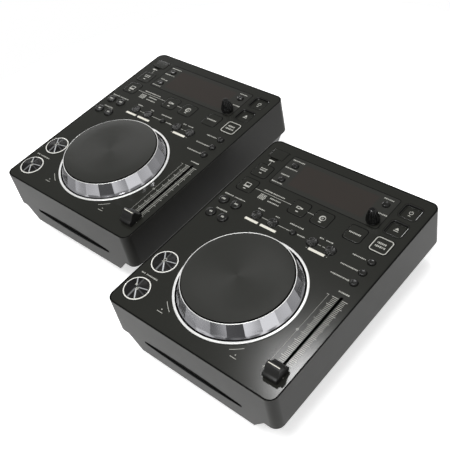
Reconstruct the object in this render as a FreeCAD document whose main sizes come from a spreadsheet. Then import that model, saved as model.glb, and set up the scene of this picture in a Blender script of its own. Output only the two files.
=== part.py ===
import FreeCAD, Part
import math
import os
import re
import sys
import Sketcher

# A pair of single-disc tabletop players for a DJ. Each stands on its own feet; they share one frame.
# X points right, Y points away from the player's user, Z points up. Millimetres throughout.
# The origin is on the floor below the middle of the pair.

UNITS = {"left": -1, "right": 1}

# The case that the places in plan below were measured on. Each place keeps its share of the case.
MEASURED_WIDTH = 218.5
MEASURED_DEPTH = 285.4


def across(x):
    return f"{x} * case_width / {MEASURED_WIDTH}"


def along(y):
    return f"{y} * case_depth / {MEASURED_DEPTH}"


def planned(x, y):
    return across(x), along(y)


DRIVING_SIZES = [
    # the pair
    ("spread_across", 129.65, "half of the sideways distance between the two players"),
    ("spread_along", 33.7, "half of the fore-and-aft distance between the two players"),
    ("panel_top", 87.0, "floor to the top face of the panel"),
    ("slip", 0.3, "clearance all round a moving key in its hole"),
    ("overcut", 1.0, "how far a cutting tool runs past the piece"),
    ("lap", 1.0, "how far one form reaches into another that it is fused to"),
    ("slot_land", 0.1, "half of the flat that is left at the round end of a slot"),
    ("seam", 0.35, "clearance round a fixed piece let into another"),
    ("running", 0.05, "radial clearance of a shaft in its bore"),
    # case shell
    ("case_width", 218.5, "left to right"),
    ("case_depth", 285.4, "front to back"),
    ("corner_radius", 10.0, "upright corners of the case"),
    ("case_wall", 2.8, "moulded wall"),
    ("skirt_drop", 48.0, "panel top to the lower edge of the side skirts"),
    ("fascia_drop", 66.5, "panel top to the lower edge of the front"),
    ("fascia_top_half", across(92.0), "half width of the front tongue where it leaves the skirt"),
    ("fascia_low_half", across(77.0), "half width of the front tongue at its lower edge"),
    ("rim_width", 1.0, "rim of the case round the panel"),
    ("boss_radius", 4.2, "screw bosses in the front corners"),
    ("boss_inset", 3.55, "middle of the screw bosses inside the wall"),
    ("boss_across", "case_width / 2 - case_wall - boss_inset", "screw bosses from the middle"),
    ("boss_setback", 14.7, "screw bosses behind the front"),
    ("boss_along", "case_depth / 2 - boss_setback", "screw bosses forward of the middle"),
    ("boss_top", 20.0, "top of the bosses below the panel top"),
    ("disc_slot_width", 126.0, "disc slot"),
    ("disc_slot_height", 3.2, "disc slot"),
    ("disc_slot_drop", 43.7, "disc slot below the panel top"),
    ("opening_corner", 1.0, "corners of the flat-sided rear openings"),
    # top panel
    ("panel_thick", 3.0, "top panel"),
    ("well_size", 22.5, "square wells of the power and eject keys, at the panel top"),
    ("well_depth", 2.4, "sloping part of the wells"),
    ("well_corner", 5.0, "corner of the wells, at the panel top"),
    ("finger_notch_radius", 5.6, "finger notch in front of the memory-port cap"),
    ("finger_notch_depth", 1.8, "finger notch"),
    ("finger_notch_setback", 0.2, "middle of the finger notch in front of the cap"),
    ("standoff_radius", 3.0, "posts that carry the circuit board"),
    # display window
    ("lens_width", across(142.3), "recess of the display window"),
    ("lens_depth", along(49.0), "recess of the display window"),
    ("lens_corner", 3.0, "recess of the display window"),
    ("lens_thick", 1.6, "display window"),
    ("lens_x", across(-0.65), "middle of the display window"),
    ("lens_y", along(104.5), "middle of the display window"),
    ("screen_width", across(98.0), "opening for the display"),
    ("screen_depth", along(38.0), "opening for the display"),
    ("screen_corner", 2.0, "opening for the display"),
    # lower chassis
    ("sheet_thick", 1.2, "steel of the chassis"),
    ("sheet_slant", 1.3, "width of the sheet in a sloping side, in thicknesses"),
    ("chassis_drop", 82.0, "panel top to the underside of the chassis"),
    ("tub_low_half", across(88.0), "half width of the chassis at its underside"),
    ("tub_setback", 27.7, "front wall of the chassis behind the front"),
    ("tub_front", "case_depth / 2 - tub_setback", "front wall of the chassis forward of the middle"),
    ("lug_width", 12.0, "rear lugs of the chassis"),
    ("lug_across", across(92.0), "rear lugs from the middle"),
    ("lug_top", 34.0, "top of the rear lugs below the panel top"),
    ("lug_corner", 2.0, "corners of the lugs"),
    ("rear_screw_drop", 41.0, "rear screws below the panel top"),
    # feet and screws
    ("foot_radius", 9.0, "rubber foot"),
    ("foot_bevel", 1.0, "bevel round the sole of a foot"),
    ("foot_across", across(70.0), "feet from the middle"),
    ("foot_front", along(98.0), "front feet forward of the middle"),
    ("foot_back", along(118.0), "rear feet behind the middle"),
    ("screw_radius", 1.5, "screw shank"),
    ("screw_head_radius", 2.9, "screw head"),
    ("screw_head_height", 1.6, "screw head"),
    ("screw_length", 9.0, "screw shank"),
    ("tap_spare", 2.0, "tapped holes beyond the ends of the screws"),
    ("screw_slip", 0.1, "clearance round a screw"),
    # jog wheel
    ("jog_y", along(-55.8), "middle of the jog wheel"),
    ("jog_foot_radius", 69.5, "outer edge of the base ring"),
    ("jog_foot_low", 0.6, "underside of the base ring above the panel"),
    ("jog_foot_high", 1.9, "top of the base ring above the panel"),
    ("jog_foot_bevel_high", 0.5, "bevel of the base ring"),
    ("jog_foot_bevel_wide", 0.8, "bevel of the base ring"),
    ("jog_groove_outer", 1.6, "outer side of the groove, beyond the foot of the skirt"),
    ("jog_groove_inner", 1.4, "outer edge of the groove's floor, beyond the foot of the skirt"),
    ("jog_groove_deep", 0.7, "groove between the base ring and the skirt"),
    ("jog_skirt_low_radius", 64.8, "foot of the fluted skirt"),
    ("jog_skirt_high_radius", 58.6, "top of the fluted skirt"),
    ("jog_height", 18.7, "top of the skirt above the panel"),
    ("jog_skirt_wall", 1.9, "wall of the skirt"),
    ("jog_brow_high", 0.4, "bevel at the top of the skirt"),
    ("jog_brow_wide", 0.5, "bevel at the top of the skirt"),
    ("jog_plate_radius", 57.0, "touch plate"),
    ("jog_plate_thick", 1.6, "touch plate"),
    ("jog_plate_sink", 0.2, "touch plate below the top of the skirt"),
    ("jog_plate_press", 0.4, "travel of the touch plate"),
    ("jog_web_low", 12.0, "underside of the web above the panel"),
    ("jog_web_high", 14.0, "top of the web above the panel"),
    ("jog_hub_radius", 14.0, "hub of the jog wheel"),
    ("jog_hub_drop", 2.0, "foot of the hub below the panel top"),
    ("jog_spigot_outer", 20.0, "ring under the touch plate"),
    ("jog_spigot_inner", 18.0, "ring under the touch plate"),
    ("jog_opening", 60.0, "opening in the panel under the jog wheel"),
    ("jog_carrier_radius", 63.5, "plate that carries the jog wheel's post"),
    ("jog_carrier_thick", 2.0, "plate that carries the jog wheel's post"),
    ("jog_post_radius", 8.0, "post that the jog wheel turns on"),
    ("jog_post_top", 11.6, "top of the post above the panel"),
    ("jog_shoulder_radius", 12.0, "shoulder that the hub runs on"),
    ("jog_shoulder_high", 0.7, "shoulder that the hub runs on"),
    # tempo slider
    ("slider_x", across(92.3), "middle of the tempo slider's slot"),
    ("slider_front", along(-115.3), "cap at its front end"),
    ("slider_travel", 100.0, "travel of the cap"),
    ("slider_slot_width", 2.2, "slot in the panel"),
    ("slider_stem_thick", 1.6, "stem of the cap"),
    ("slider_stem_long", 6.0, "stem of the cap"),
    ("slider_stem_drop", 8.5, "foot of the stem below the panel top"),
    ("slider_stem_corner", 0.4, "stem of the cap"),
    ("slider_cap_width", 16.4, "cap"),
    ("slider_cap_length", 20.0, "cap"),
    ("slider_cap_low", 1.2, "underside of the cap above the panel"),
    ("slider_cap_edge", 5.2, "front and rear edges of the cap above the panel"),
    ("slider_cap_high", 13.7, "ridge of the cap above the panel"),
    ("slider_ridge_half", 2.1, "half width of the ridge at its top"),
    ("slider_waist_half", 3.4, "half width of the ridge at its foot"),
    ("slider_waist_high", 8.2, "foot of the ridge above the panel"),
    ("slider_toe_length", 2.4, "sloping foot of the ridge"),
    ("slider_toe_rise", 0.9, "sloping foot of the ridge"),
    ("fader_width", 11.0, "sliding resistor below the panel"),
    ("fader_length", 119.0, "sliding resistor below the panel"),
    ("fader_height", 7.4, "sliding resistor below the panel"),
    # selector
    ("selector_x", across(61.3), "middle of the rotary selector"),
    ("selector_y", along(88.0), "middle of the rotary selector"),
    ("selector_shaft_radius", 3.0, "shaft"),
    ("selector_shaft_top", 10.6, "top of the shaft above the panel"),
    ("selector_collar_radius", 4.4, "collar that keeps the shaft in the panel"),
    ("selector_tail", 1.0, "shaft below its collar"),
    ("selector_low", 1.0, "underside of the knob above the panel"),
    ("selector_shoulder", 5.4, "height at which the knob starts to taper"),
    ("selector_high", 16.0, "top of the knob above the panel"),
    ("selector_low_radius", 7.7, "knob"),
    ("selector_high_radius", 5.3, "knob"),
    ("selector_bore_top", 11.2, "end of the knob's bore above the panel"),
    ("selector_bevel", 0.4, "lower edge of the knob"),
    ("selector_crown", 0.5, "upper edge of the knob"),
    # keys
    ("key_lip", 1.2, "lip that keeps a key under the panel"),
    ("key_lip_thick", 1.0, "lip that keeps a key under the panel"),
    ("key_lip_gap", 0.1, "lip to the underside of the panel"),
    ("square_key_size", 21.2, "square keys"),
    ("square_key_corner", 4.0, "square keys"),
    ("square_key_rise", 0.3, "top of the square keys above the panel"),
    ("well_key_size", 16.8, "power and eject keys"),
    ("well_key_corner", 2.4, "power and eject keys"),
    ("well_key_sink", 0.9, "top of the power and eject keys below the panel top"),
    ("ring_radius", 15.6, "light rings of the cue and play keys"),
    ("ring_width", 2.1, "light rings of the cue and play keys"),
    ("ring_rise", 0.4, "top of the light rings above the panel"),
    ("ring_gap", 0.1, "clearance round the light rings"),
    ("transport_key_rise", 1.3, "rim of the cue and play keys above the panel"),
    ("transport_key_dome", 0.9, "rise of the cue and play keys' cone"),
    ("transport_key_rim", 0.4, "flat rim round the cone"),
    ("transport_key_tip", 2.0, "flat tip of the cone"),
    ("round_key_radius", 6.2, "round keys"),
    ("round_key_rise", 1.9, "round keys above the panel"),
    ("small_key_radius", 4.2, "small round keys"),
    ("small_key_rise", 2.2, "small round keys above the panel"),
    ("dot_key_radius", 3.5, "smallest round key"),
    ("key_taper", 0.9, "narrowing of a round key towards its top"),
    ("key_barrel_rise", 0.4, "straight part of a round key above the panel"),
    # memory-port cap
    ("port_x", across(-89.3), "middle of the memory port's cap"),
    ("port_y", along(122.0), "middle of the memory port's cap"),
    ("port_cap_width", 20.0, "cap"),
    ("port_cap_length", 15.0, "cap"),
    ("port_cap_thick", 2.4, "cap"),
    ("port_cap_rise", 0.6, "top of the cap above the panel"),
    ("port_corner", 1.0, "corners of the opening under the cap"),
    ("port_pin_radius", 0.7, "hinge pins of the cap"),
    ("port_pin_length", 1.1, "hinge pins of the cap, beyond its sides"),
    ("port_pin_room", 0.1, "clearance round the hinge pins"),
    # circuit boards
    ("board_thick", 1.6, "circuit board"),
    ("board_top", 10.4, "top of the circuit board below the panel top"),
    ("board_margin", 5.25, "sides of the circuit board inside the sides of the case"),
    ("board_back", 8.7, "rear edge of the circuit board inside the back of the case"),
    ("board_front", 10.7, "front edge of the circuit board inside the front of the case"),
    ("board_step", along(2.0), "front edge of the board's wide part behind the middle"),
    ("board_arm", 32.0, "width of the board's arm under the cue and play keys"),
    ("switch_size", 6.0, "push switch under each key"),
    ("switch_height", 4.1, "push switch under each key"),
    ("encoder_height", 3.2, "switch under the selector"),
    ("display_depth", 5.0, "display module below the panel"),
    ("display_margin", 2.0, "display module beyond its opening"),
    # disc drive
    ("drive_cheek", 9.0, "sides of the disc drive beyond the ends of the disc slot"),
    ("drive_half", "disc_slot_width / 2 + drive_cheek", "half width of the disc drive"),
    ("drive_gap", 0.4, "disc drive to the front wall"),
    ("drive_front", "case_depth / 2 - case_wall - drive_gap", "front of the disc drive forward of the middle"),
    ("drive_back", 12.0, "back of the disc drive behind the middle"),
    ("drive_low", 46.8, "underside of the disc drive below the panel top"),
    ("drive_high", 27.6, "top of the disc drive below the panel top"),
    ("drive_wall", 1.4, "wall of the disc drive"),
    ("roller_radius", 3.0, "rubber roller that draws the disc in"),
    ("roller_setback", 9.0, "roller behind the front of the drive"),
    ("turntable_radius", 7.4, "hub that the disc sits on"),
    ("turntable_height", 0.9, "hub that the disc sits on"),
    ("turntable_setback", 8.0, "hub in front of the middle of the jog wheel"),
    ("drive_post", 8.0, "posts that carry the disc drive"),
    ("drive_post_inset", 12.0, "posts inside the sides of the disc drive"),
    ("drive_post_setback", 44.5, "front posts behind the front of the disc drive"),
    ("drive_post_back", 7.0, "rear posts in front of the back of the disc drive"),
    # sockets at the back
    ("socket_drop", 33.0, "middle of the rear sockets below the panel top"),
    ("phono_radius", 4.15, "phono barrel"),
    ("phono_bore", 1.6, "centre contact of the phono barrel"),
    ("phono_reach", 8.5, "phono barrel beyond the case"),
    ("phono_neck", 0.3, "thin collar at the root of the barrel: its length, and its radius less than the barrel's"),
    ("phono_block_half", 7.0, "half width of the blocks that carry the barrels"),
    ("bore_behind", 6.0, "bores of the barrels behind the rear wall"),
    ("socket_block_depth", 14.0, "blocks behind the rear wall"),
    ("inlet_width", 18.0, "opening of the power inlet"),
    ("inlet_height", 8.0, "opening of the power inlet"),
    ("inlet_pin_radius", 1.2, "pins of the power inlet"),
    ("inlet_pin_across", 4.3, "pins of the power inlet from its middle"),
    ("pin_root", 0.5, "pins and tongues behind the floor of their socket"),
    ("pin_sink", 2.0, "ends of the pins and tongues below the rear face"),
    ("socket_depth", 12.0, "depth of the rear openings"),
    ("jack_bore", 1.8, "bore of the control jack"),
    ("data_width", 8.4, "opening of the data socket"),
    ("data_height", 7.6, "opening of the data socket"),
    ("data_tongue_half", 2.8, "half width of the data socket's tongue"),
    ("data_tongue_high", 1.6, "half height of the data socket's tongue"),
    ("socket_wall", 1.8, "wall round the rear openings"),
    ("port_shell_width", 14.2, "memory port's metal shell"),
    ("port_shell_depth", 6.8, "memory port's metal shell"),
    ("port_shell_wall", 0.6, "memory port's metal shell"),
    ("port_shell_setback", 1.0, "shell in front of the middle of the cap"),
    ("port_shell_gap", 0.4, "shell below the panel"),
    ("port_tongue_margin", 1.4, "tongue inside the sides of the shell"),
    ("port_tongue_half", 0.9, "half thickness of the tongue"),
    ("port_tongue_sink", 1.2, "tongue below the panel"),
]

# Where the keys stand, in each player's own plan: name, across, along.
SQUARE_KEYS = {
    "usb_stop_button": planned(-88.8, 90.3),
    "link_button": planned(-88.6, 63.6),
    "usb_button": planned(-15.8, 63.6),
    "disc_button": planned(14.4, 63.6),
    "playlist_button": planned(56.0, 63.8),
    "bpm_lock_button": planned(87.2, 63.9),
}
WELL_KEYS = {
    "power_button": planned(87.3, 118.6),
    "eject_button": planned(87.3, 91.0),
}
TRANSPORT_KEYS = {
    "cue_button": planned(-90.0, -73.1),
    "play_button": planned(-90.0, -115.3),
}
# Keys that share one moulding, and so one node: radius, rise, then a place for each cap.
ROUND_KEYS = {
    "display_keys": ("small_key_radius", "small_key_rise", [planned(-60.4, 115.2), planned(-60.4, 89.6)]),
    "back_button": ("small_key_radius", "small_key_rise", [planned(59.8, 115.2)]),
    "track_search_keys": ("round_key_radius", "round_key_rise", [planned(-96.7, 31.3), planned(-79.2, 31.3)]),
    "search_keys": ("round_key_radius", "round_key_rise", [planned(-96.7, 8.6), planned(-79.2, 8.6)]),
    "loop_keys": ("round_key_radius", "round_key_rise", [planned(-49.4, 31.2), planned(-27.2, 31.2)]),
    "beat_loop_keys": ("round_key_radius", "round_key_rise", [planned(25.0, 31.2), planned(47.9, 31.2)]),
    "mode_keys": ("small_key_radius", "small_key_rise", [planned(91.6, 39.9), planned(91.6, 24.1), planned(91.6, 9.0)]),
}
RELOOP_KEY = planned(0.0, 31.2)
# Where the rear sockets stand, across each player.
INLET_PLACE = across(-62.0)
DATA_PLACE = across(-20.0)
JACK_PLACE = across(22.0)
PHONO_PLACES = (across(48.0), across(66.0))
WELL_SLOPE = -45  # degrees: the wells narrow downwards
STANDOFFS = [planned(-101.0, 110.0), planned(-101.0, 45.0), planned(5.0, 45.0), planned(98.0, 79.0),
             planned(98.0, 50.0), planned(-101.0, -30.0)]

doc = FreeCAD.newDocument("TabletopPlayers")
sizes = doc.addObject("Spreadsheet::Sheet", "Sizes")
for row, (alias, number, meaning) in enumerate(DRIVING_SIZES, start=1):
    sizes.set(f"A{row}", alias)
    sizes.set(f"B{row}", f"={number}")
    sizes.set(f"C{row}", meaning)
    sizes.setAlias(f"B{row}", alias)
doc.recompute()

ALIASES = {alias for alias, number, meaning in DRIVING_SIZES}
nodes = {}


def bound(expression):
    """The expression with each size name pointed at its cell."""
    def cell(match):
        word = match.group()
        return f"Sizes.{word}" if word in ALIASES else word
    return re.sub(r"[a-z][a-z_]*", cell, str(expression))


def value(expression):
    return float(sizes.evalExpression(bound(expression)))


def bind(thing, prop, expression):
    thing.setExpression(prop, bound(expression))


def place(thing, x=0, y=0, z=0):
    for axis, expression in zip("xyz", (x, y, z)):
        bind(thing, f"Placement.Base.{axis}", expression)
    return thing


def in_unit(unit, x=0, y=0, z=0):
    """A place in one player's own plan, as a place in the shared frame.

    The pair sits forward of the origin by half of the phono barrels' reach, so that the origin is
    below the middle of its whole extent.
    """
    sign = UNITS[unit]
    return (f"{sign} * spread_across + ({x})", f"{-sign} * spread_along - phono_reach / 2 + ({y})",
            f"panel_top + ({z})")


def keep(name, thing):
    thing.Label = name
    nodes[name] = thing
    return thing


# ---- Part primitives ----

def cylinder(name, radius, height, x=0, y=0, z=0):
    thing = doc.addObject("Part::Cylinder", name)
    bind(thing, "Radius", radius)
    bind(thing, "Height", height)
    return place(thing, x, y, z)


def cone(name, low_radius, high_radius, height, x=0, y=0, z=0):
    thing = doc.addObject("Part::Cone", name)
    bind(thing, "Radius1", low_radius)
    bind(thing, "Radius2", high_radius)
    bind(thing, "Height", height)
    return place(thing, x, y, z)


def box(name, low, high):
    """A box between two corners."""
    thing = doc.addObject("Part::Box", name)
    for side, bottom, top in zip(("Length", "Width", "Height"), low, high):
        bind(thing, side, f"({top}) - ({bottom})")
    return place(thing, *low)


def rearward(name, radius, length, x, y, z):
    """A cylinder whose axis points back, away from the user."""
    thing = cylinder(name, radius, length, x, y, z)
    thing.Placement.Rotation = FreeCAD.Rotation(FreeCAD.Vector(1, 0, 0), -90)
    return thing


def sideways(name, radius, length, x, y, z):
    """A cylinder whose axis points right."""
    thing = cylinder(name, radius, length, x, y, z)
    thing.Placement.Rotation = FreeCAD.Rotation(FreeCAD.Vector(0, 1, 0), 90)
    return thing


def fuse(name, pieces):
    thing = doc.addObject("Part::MultiFuse", name)
    thing.Shapes = pieces
    return thing


def cut(name, whole, tools):
    thing = doc.addObject("Part::Cut", name)
    thing.Base = whole
    thing.Tool = tools[0] if len(tools) == 1 else fuse(f"{name}_tools", tools)
    return thing


def gather(name, pieces):
    thing = doc.addObject("Part::Compound", name)
    thing.Links = pieces
    return thing


# ---- PartDesign bodies ----

def new_body(name):
    return doc.addObject("PartDesign::Body", name)


def new_sketch(body, name, plane="XY_Plane", offset=0):
    sketch = body.newObject("Sketcher::SketchObject", f"{body.Name}_{name}")
    support = next(feature for feature in body.Origin.OriginFeatures if feature.Role == plane)
    sketch.AttachmentSupport = [(support, "")]
    sketch.MapMode = "FlatFace"
    bind(sketch, "AttachmentOffset.Base.z", offset)
    return sketch


def name_constraints(sketch, first, bindings):
    for number, (name, expression) in enumerate(bindings, start=first):
        sketch.renameConstraint(number, name)
        bind(sketch, f"Constraints.{name}", expression)


def draw_polygon(sketch, tag, corners):
    """A closed outline of straight edges, each corner bound to its two coordinates."""
    first = sketch.GeometryCount
    count = len(corners)
    spots = [FreeCAD.Vector(value(x), value(y), 0) for x, y in corners]
    sketch.addGeometry([Part.LineSegment(spots[i], spots[(i + 1) % count]) for i in range(count)], False)
    constraints = [Sketcher.Constraint("Coincident", first + i, 2, first + (i + 1) % count, 1)
                   for i in range(count)]
    bindings = []
    for i, (x, y) in enumerate(corners):
        constraints.append(Sketcher.Constraint("DistanceX", -1, 1, first + i, 1, spots[i].x))
        constraints.append(Sketcher.Constraint("DistanceY", -1, 1, first + i, 1, spots[i].y))
        bindings += [(f"{tag}_x{i}", x), (f"{tag}_y{i}", y)]
    start = sketch.ConstraintCount + count
    sketch.addConstraint(constraints)
    name_constraints(sketch, start, bindings)


def draw_rounded(sketch, tag, width, depth, radius, x=0, y=0):
    """A rectangle with round corners: four arcs joined by four tangent lines."""
    first = sketch.GeometryCount
    left, right = f"({x}) - ({width}) / 2 + ({radius})", f"({x}) + ({width}) / 2 - ({radius})"
    low, high = f"({y}) - ({depth}) / 2 + ({radius})", f"({y}) + ({depth}) / 2 - ({radius})"
    centres = [(right, high), (left, high), (left, low), (right, low)]
    arcs = []
    for turn, (centre_x, centre_y) in enumerate(centres):
        circle = Part.Circle(FreeCAD.Vector(value(centre_x), value(centre_y), 0),
                             FreeCAD.Vector(0, 0, 1), value(radius))
        arcs.append(Part.ArcOfCircle(circle, turn * math.pi / 2, (turn + 1) * math.pi / 2))
    geometry = []
    for turn, arc in enumerate(arcs):
        geometry += [arc, Part.LineSegment(arc.EndPoint, arcs[(turn + 1) % 4].StartPoint)]
    sketch.addGeometry(geometry, False)
    constraints = [Sketcher.Constraint("Tangent", first + i, 2, first + (i + 1) % 8, 1) for i in range(8)]
    constraints += [Sketcher.Constraint("Horizontal", first + i) for i in (1, 5)]
    constraints += [Sketcher.Constraint("Vertical", first + i) for i in (3, 7)]
    constraints += [Sketcher.Constraint("Equal", first, first + i) for i in (2, 4, 6)]
    start = sketch.ConstraintCount + len(constraints)
    constraints += [
        Sketcher.Constraint("Radius", first, value(radius)),
        Sketcher.Constraint("DistanceX", -1, 1, first + 4, 3, value(left)),
        Sketcher.Constraint("DistanceX", -1, 1, first, 3, value(right)),
        Sketcher.Constraint("DistanceY", -1, 1, first + 4, 3, value(low)),
        Sketcher.Constraint("DistanceY", -1, 1, first, 3, value(high)),
    ]
    sketch.addConstraint(constraints)
    name_constraints(sketch, start, [(f"{tag}_radius", radius), (f"{tag}_left", left), (f"{tag}_right", right),
                                     (f"{tag}_low", low), (f"{tag}_high", high)])


def draw_circle(sketch, tag, radius, x=0, y=0):
    first = sketch.GeometryCount
    circle = Part.Circle(FreeCAD.Vector(value(x), value(y), 0), FreeCAD.Vector(0, 0, 1), value(radius))
    sketch.addGeometry([circle], False)
    start = sketch.ConstraintCount
    sketch.addConstraint([
        Sketcher.Constraint("Radius", first, value(radius)),
        Sketcher.Constraint("DistanceX", -1, 1, first, 3, value(x)),
        Sketcher.Constraint("DistanceY", -1, 1, first, 3, value(y)),
    ])
    name_constraints(sketch, start, [(f"{tag}_radius", radius), (f"{tag}_x", x), (f"{tag}_y", y)])


def pad(body, sketch, length, down=False, middle=False):
    feature = body.newObject("PartDesign::Pad", f"{sketch.Name}_pad")
    feature.Profile = sketch
    bind(feature, "Length", length)
    feature.Reversed = down
    feature.Midplane = middle
    return feature


def pocket(body, sketch, length, up=False):
    feature = body.newObject("PartDesign::Pocket", f"{sketch.Name}_pocket")
    feature.Profile = sketch
    bind(feature, "Length", length)
    feature.Reversed = up
    return feature


def revolve(body, sketch):
    feature = body.newObject("PartDesign::Revolution", f"{sketch.Name}_turned")
    feature.Profile = sketch
    feature.ReferenceAxis = (sketch, ["V_Axis"])
    feature.Angle = 360
    return feature


def rounded_hole(body, tag, width, depth, radius, x, y, reach, top=0):
    """A pocket with round corners, cut down from the given height."""
    sketch = new_sketch(body, tag, offset=top)
    draw_rounded(sketch, tag, width, depth, radius, x, y)
    return pocket(body, sketch, reach)


def round_holes(body, tag, circles, reach, top=0):
    sketch = new_sketch(body, tag, offset=top)
    for number, (radius, x, y) in enumerate(circles):
        draw_circle(sketch, f"{tag}{number}", radius, x, y)
    return pocket(body, sketch, reach)


# ---- Case ----

def make_case(unit):
    body = new_body(f"{unit}_case_body")
    outline = new_sketch(body, "outline", offset="-skirt_drop")
    draw_rounded(outline, "outline", "case_width", "case_depth", "corner_radius")
    pad(body, outline, "skirt_drop")
    inside = "case_width - 2 * case_wall", "case_depth - 2 * case_wall"
    rounded_hole(body, "inside", *inside, "corner_radius - case_wall", 0, 0, "skirt_drop + overcut")
    rebate = "case_width - 2 * rim_width", "case_depth - 2 * rim_width"
    rounded_hole(body, "rebate", *rebate, "corner_radius - rim_width", 0, 0, "panel_thick")
    # the front carries on below the skirt as a tongue that hides the chassis
    tongue = new_sketch(body, "tongue", "XZ_Plane", "case_depth / 2 - case_wall")
    draw_polygon(tongue, "tongue", [
        ("-fascia_top_half", "-skirt_drop"), ("-fascia_low_half", "-fascia_drop"),
        ("fascia_low_half", "-fascia_drop"), ("fascia_top_half", "-skirt_drop"),
        ("fascia_top_half", "lap - skirt_drop"), ("-fascia_top_half", "lap - skirt_drop")])
    pad(body, tongue, "case_wall")
    slot = new_sketch(body, "slot", "XZ_Plane", "case_depth / 2 - case_wall - overcut")
    draw_rounded(slot, "slot", "disc_slot_width", "disc_slot_height", "disc_slot_height / 2 - slot_land",
                 0, "-disc_slot_drop")
    pocket(body, slot, "case_wall + 2 * overcut", up=True)
    bosses = new_sketch(body, "bosses", offset="-skirt_drop")
    for side in (-1, 1):
        draw_circle(bosses, f"boss{side + 1}", "boss_radius", f"{side} * boss_across", "-boss_along")
    pad(body, bosses, "skirt_drop - boss_top")
    tapped = [("screw_radius", f"{side} * boss_across", "-boss_along") for side in (-1, 1)]
    round_holes(body, "tapped", tapped, "screw_length + tap_spare", top="screw_length + tap_spare - skirt_drop")
    back = new_sketch(body, "back", "XZ_Plane", "-case_depth / 2 - overcut")
    for tag, width, height, x in rear_openings():
        draw_rounded(back, tag, f"{width} + 2 * socket_wall + 2 * seam", f"{height} + 2 * socket_wall + 2 * seam",
                     "opening_corner", x, "-socket_drop")
    pocket(body, back, "case_wall + 2 * overcut", up=True)
    drilled = new_sketch(body, "drilled", "XZ_Plane", "-case_depth / 2 - overcut")
    for number, (radius, x, z) in enumerate(rear_round_holes()):
        draw_circle(drilled, f"drilled{number}", radius, x, z)
    pocket(body, drilled, "case_wall + 2 * overcut", up=True)
    keep(f"{unit}_case", place(body, *in_unit(unit)))


def rear_openings():
    """The two openings with flat sides at the back: name, width, height, and place across."""
    return [("inlet", "inlet_width", "inlet_height", INLET_PLACE), ("data", "data_width", "data_height", DATA_PLACE)]


def rear_round_holes():
    """The round holes at the back: two phono barrels, a control jack and two screws."""
    barrels = [("phono_radius + seam", x, "-socket_drop") for x in PHONO_PLACES]
    jack = [("phono_radius + seam", JACK_PLACE, "-socket_drop")]
    screws = [("screw_radius + screw_slip", f"{side} * lug_across", "-rear_screw_drop") for side in (-1, 1)]
    return barrels + jack + screws


# ---- Top panel ----

def make_panel(unit):
    body = new_body(f"{unit}_panel_body")
    outline = new_sketch(body, "outline", offset="-panel_thick")
    draw_rounded(outline, "outline", "case_width - 2 * rim_width - 2 * seam",
                 "case_depth - 2 * rim_width - 2 * seam", "corner_radius - rim_width - seam")
    pad(body, outline, "panel_thick")
    through = "panel_thick + overcut"
    rounded_hole(body, "recess", "lens_width", "lens_depth", "lens_corner", "lens_x", "lens_y", "lens_thick")
    rounded_hole(body, "screen", "screen_width", "screen_depth", "screen_corner", "lens_x", "lens_y", through)
    for name, (x, y) in SQUARE_KEYS.items():
        rounded_hole(body, name, "square_key_size + 2 * slip", "square_key_size + 2 * slip",
                     "square_key_corner + slip", x, y, through)
    for name, (x, y) in WELL_KEYS.items():
        rounded_hole(body, name, "well_key_size + 2 * slip", "well_key_size + 2 * slip",
                     "well_key_corner + slip", x, y, through)
        well = rounded_hole(body, f"{name}_well", "well_size", "well_size", "well_corner", x, y, "well_depth")
        well.TaperAngle = WELL_SLOPE
    round_holes(body, "lamps", [("ring_radius + ring_gap", x, y) for x, y in TRANSPORT_KEYS.values()], through)
    for name, (radius, rise, spots) in ROUND_KEYS.items():
        round_holes(body, name, [(f"{radius} + slip", x, y) for x, y in spots], through)
    round_holes(body, "reloop", [("dot_key_radius + slip", *RELOOP_KEY)], through)
    round_holes(body, "jog", [("jog_opening", 0, "jog_y")], through)
    round_holes(body, "selector", [("selector_shaft_radius + slip", "selector_x", "selector_y")], through)
    rounded_hole(body, "slider", "slider_slot_width", "slider_travel + slider_stem_long + 2 * slip",
                 "slider_slot_width / 2 - slot_land", "slider_x", "slider_front + slider_travel / 2", through)
    rounded_hole(body, "port", "port_cap_width + 2 * slip", "port_cap_length + 2 * slip", "port_corner",
                 "port_x", "port_y", through)
    round_holes(body, "notch", [("finger_notch_radius", "port_x", "port_y - port_cap_length / 2 - finger_notch_setback")],
                "finger_notch_depth")
    # sockets for the cap's hinge pins, milled into the underside
    rounded_hole(body, "hinge", "port_cap_width + 2 * port_pin_length + 2 * slip + 4 * port_pin_room",
                 "2 * port_pin_radius + 2 * port_pin_room", "2 * port_pin_room", "port_x",
                 "port_y + port_cap_length / 2 - port_cap_thick / 2", through,
                 top="port_cap_rise - port_cap_thick / 2 + port_pin_radius + port_pin_room")
    posts = new_sketch(body, "posts", offset="-board_top")
    for number, (x, y) in enumerate(STANDOFFS):
        draw_circle(posts, f"post{number}", "standoff_radius", x, y)
    pad(body, posts, "board_top - panel_thick / 2")
    keep(f"{unit}_top_panel", place(body, *in_unit(unit)))


# ---- Lower chassis ----

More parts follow.
